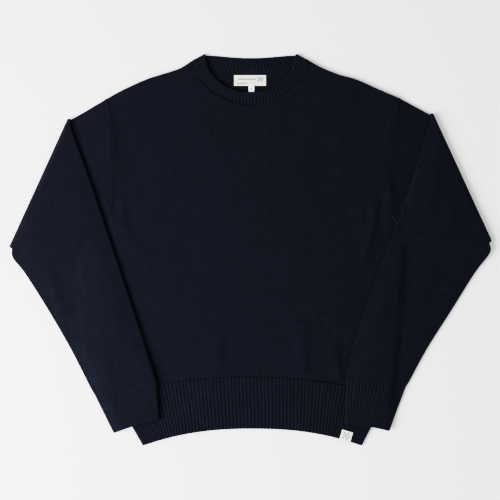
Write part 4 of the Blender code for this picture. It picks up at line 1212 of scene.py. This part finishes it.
yarn = {
    "wale": 0.0032,  # width of a column of stitches, metres
    "course": 0.0024,  # height of a row of stitches
    "slant": 0.62,  # how far each leg of a stitch climbs, in rows
    "depth": 0.0007,
    "dark": (0.0037, 0.0047, 0.0089, 1.0),
    "mid": (0.0063, 0.0079, 0.0144, 1.0),
    "light": (0.0107, 0.0128, 0.0210, 1.0),
    "roughness": 0.92,
    "sheen": 0.14,
    "sheenRoughness": 0.45,
    "sheenTint": (0.52, 0.58, 0.78, 1.0),
    "specular": 0.18,
    "drift": {"column": 0.10, "row": 0.22},  # how far uneven yarn moves a stitch, in stitches
    "legs": {"along": 0.92, "across": 0.85},  # how far a leg falls off towards its ends and sides
    "crossing": 0.72,  # tone over which the light colour comes in, and how fast
    "crossingRate": 1.6,
    "speckle": 0.06,  # how much smoother some stitches are
    # the scale of each noise, and what each adds to the height and to the tone
    "scale": {
        "drift": 260.0,
        "fluff": 2400.0,
        "lumps": 120.0,
        "broad": 24.0,
        "patchy": 95.0,
        "streak": 210.0,
    },
    "height": {"drift": 0.25, "fluff": 0.30, "lumps": 1.3},
    # the legs share of the tone is painted shade: a stitch leg is darker towards its ends and sides and
    # lighter on its crest; the other shares are the yarn's random tone
    "tone": {"legs": 0.55, "speck": 0.16, "fluff": 0.25, "broad": 0.6, "patchy": 0.75, "streak": 0.4},
}


def knitMaterial(name, wale, course, depth):
    # Each stitch is two slanted legs: across, a leg is round between the middle and the side of
    # its column; along, it is round between its row's limits, which climb towards the sides
    shader = Shader(name)
    uv, u, v = shader.places()
    scale, raised, shaded = yarn["scale"], yarn["height"], yarn["tone"]
    drift = shader.noise(uv, scale["drift"], 2.0) - 0.5  # uneven yarn
    column = u / wale + drift * yarn["drift"]["column"]
    outwards = (column.fraction() - 0.5).size() * 2
    row = v / course - outwards * yarn["slant"] + drift * yarn["drift"]["row"]
    alongLeg = row.fraction() * 2 - 1
    acrossLeg = (outwards - 0.5) * 2
    roundness = (1 - alongLeg * alongLeg * yarn["legs"]["along"]).root()
    roundness = roundness * (1 - acrossLeg * acrossLeg * yarn["legs"]["across"]).root()
    fluff = shader.noise(uv, scale["fluff"], 3.0, 0.6)
    lumps = shader.noise(uv, scale["lumps"], 2.0)
    height = roundness + fluff * raised["fluff"] + drift * raised["drift"] + lumps * raised["lumps"]
    leg = (column.fraction() - 0.5).above(0.0)
    cell = shader.joined(column.whole(), row.whole(), leg)
    speck = shader.add("ShaderNodeTexWhiteNoise", None, {"Vector": cell})
    broad = shader.noise(uv, scale["broad"], 3.0, 0.6) - 0.5
    patchy = shader.noise(uv, scale["patchy"], 3.0, 0.6) - 0.5
    streak = shader.noise(shader.joined(u, v * 0.12, 0.0), scale["streak"], 1.0) - 0.5
    # the legs' roundness enters the tone as painted shade and highlight, darker at each leg's ends and
    # sides and lighter on its crest; speck, fluff, broad, patchy and streak are the yarn's random tone
    tone = roundness * shaded["legs"] + speck * shaded["speck"] + fluff * shaded["fluff"]
    tone = tone + broad * shaded["broad"] + patchy * shaded["patchy"] + streak * shaded["streak"]
    colour = shader.mixed(tone, yarn["dark"], yarn["mid"])
    # the light colour comes in mostly on the leg crests, a painted highlight, and on random light flecks
    lit = (tone - yarn["crossing"]) * yarn["crossingRate"]
    colour = shader.mixed(lit, colour, yarn["light"])
    rough = yarn["roughness"] - speck * yarn["speckle"]
    fixed = {
        "Sheen Weight": yarn["sheen"],
        "Sheen Roughness": yarn["sheenRoughness"],
        "Sheen Tint": yarn["sheenTint"],
        "Specular IOR Level": yarn["specular"],
    }
    return shader.finish(colour, rough, height, depth, fixed)


def tapeMaterial(name, ground, patches):
    # a woven tape: fine warp and weft over the ground colour, and plain woven dashes in patches,
    # each a box in the tape's own places with a dash length and a share that is filled
    shader = Shader(name)
    uv, u, v = shader.places()
    warp = ((u / 0.00042).fraction() - 0.5).size() * 2
    weft = ((v / 0.00030).fraction() - 0.5).size() * 2
    fluff = shader.noise(uv, 3000.0, 2.0)
    stain = shader.noise(uv, 90.0, 2.0)
    # the weave paints shade: each thread is lighter on its crest and darker at its borders with the next,
    # under random fluff
    weave = (1 - warp * warp) * 0.6 + (1 - weft * weft) * 0.5 + fluff * 0.3
    # this darker ground colour stands for both the painted shade between threads and random stains
    shade = tuple(0.80 * c for c in ground[:3]) + (1.0,)
    colour = shader.mixed(weave * 0.55 + stain * 0.45, shade, ground)
    height = weave
    for patch in patches:
        left, right, low, high = (edge * mm for edge in patch["box"])
        inside = u.above(left) * u.below(right) * v.above(low) * v.below(high)
        step = (u - left) / (patch["dash"] * mm)
        if "rows" in patch:  # every other row of dashes starts half a step on
            step = step + ((v - low) / (patch["rows"] * mm)).whole() * 0.5
        mask = inside * step.fraction().below(patch["filled"])
        colour = shader.mixed(mask * 0.85, colour, threads[patch["thread"]])
        height = height + mask * 0.5
    fixed = {"Sheen Weight": 0.15, "Sheen Roughness": 0.4, "Specular IOR Level": 0.35}
    return shader.finish(colour, 0.62 + fluff * 0.12, height, 0.00012, fixed)


cream, white = (0.68, 0.66, 0.52, 1.0), (0.78, 0.78, 0.82, 1.0)
threads = {
    "blue": (0.06, 0.12, 0.38, 1.0),
    "sky": (0.13, 0.22, 0.45, 1.0),
    "grey": (0.04, 0.04, 0.045, 1.0),
}
knitFinish = knitMaterial("navyKnit", yarn["wale"], yarn["course"], yarn["depth"])
ribFinish = knitMaterial("navyRib", ribPlace * mm / 2, yarn["course"], yarn["depth"])
neckTapeFinish = tapeMaterial(
    "creamTape",
    cream,
    [
        {"box": (6.0, 38.5, 10.2, 12.7), "dash": 3.1, "filled": 0.95, "thread": "blue"},
        {"box": (4.0, 23.0, 3.4, 5.6), "dash": 1.9, "filled": 0.86, "thread": "grey"},
        {"box": (40.5, 51.5, 7.2, 15.2), "dash": 5.5, "filled": 0.74, "rows": 2.7, "thread": "blue"},
    ],
)
sizePatch = {"box": (3.6, 5.6, 4.2, 7.6), "dash": 9.0, "filled": 0.9, "thread": "grey"}
sizeTapeFinish = tapeMaterial("whiteTape", white, [sizePatch])
hemPatch = {"box": (3.6, 16.4, -15.0, -3.4), "dash": 6.4, "filled": 0.66, "rows": 3.9, "thread": "sky"}
hemTapeFinish = tapeMaterial("hemTape", cream, [hemPatch])
finishes = {
    knitFinish: [front, back, *arms.values(), *armSeams.values(), *shaping.values()],
    ribFinish: [hemFront, hemBack, neckband, *cuffs.values(), neckSeam, hemSeam, *neckJoins.values()],
    neckTapeFinish: [neckTape, neckThread],
    sizeTapeFinish: [sizeTape],
    hemTapeFinish: [hemTape],
}
for finish, dressed in finishes.items():
    for piece in dressed:
        piece.data.materials.append(finish)
print("materials made")


# Floor, light and camera

stage = {
    "floorSize": 6.0,
    "floorColour": (0.80, 0.80, 0.80, 1.0),
    "fill": 0.76,
    "key": {"from": (-1.4, -0.5, 1.25), "size": 1.4, "power": 84.0},
    "lens": 100.0,
    "height": 0.435 * 100 / 18,  # the frame is 870 mm wide where it meets the floor
    "centre": (-0.0009, 0.0),
}


def makeFloor():
    side = stage["floorSize"] / 2
    mesh = bpy.data.meshes.new("floor")
    corners = [(x * side, y * side, -0.0002) for x, y in ((-1, -1), (1, -1), (1, 1), (-1, 1))]
    mesh.from_pydata(corners, [], [(0, 1, 2, 3)])
    floor = bpy.data.objects.new("floor", mesh)
    bpy.context.scene.collection.objects.link(floor)
    shader = Shader("palePaper")
    place = shader.add("ShaderNodeTexCoord", output=3)
    grain = shader.noise(place, 900.0, 2.0)
    fixed = {"Specular IOR Level": 0.1}
    mesh.materials.append(shader.finish(stage["floorColour"], 0.9, grain, 0.00002, fixed))


def makeLight(name, light):
    data = bpy.data.lights.new(name, "AREA")
    data.energy = light["power"]
    data.size = light["size"]
    lamp = bpy.data.objects.new(name, data)
    lamp.location = light["from"]
    lamp.rotation_euler = (-Vector(light["from"])).to_track_quat("-Z", "Y").to_euler()
    lamp.visible_camera = False
    bpy.context.scene.collection.objects.link(lamp)


makeFloor()
makeLight("key", stage["key"])
world = bpy.data.worlds.new("studio")
world.use_nodes = True
world.node_tree.nodes["Background"].inputs["Color"].default_value = (1.0, 1.0, 1.0, 1.0)
world.node_tree.nodes["Background"].inputs["Strength"].default_value = stage["fill"]
bpy.context.scene.world = world
bpy.context.scene.view_settings.view_transform = "Filmic"  # a camera's soft shoulder and deep blacks
bpy.context.scene.view_settings.look = "Very High Contrast"

lens = bpy.data.cameras.new("above")
lens.lens = stage["lens"]
lens.clip_end = 50.0
camera = bpy.data.objects.new("above", lens)
camera.location = (*stage["centre"], stage["height"])
bpy.context.scene.collection.objects.link(camera)
bpy.context.scene.camera = camera
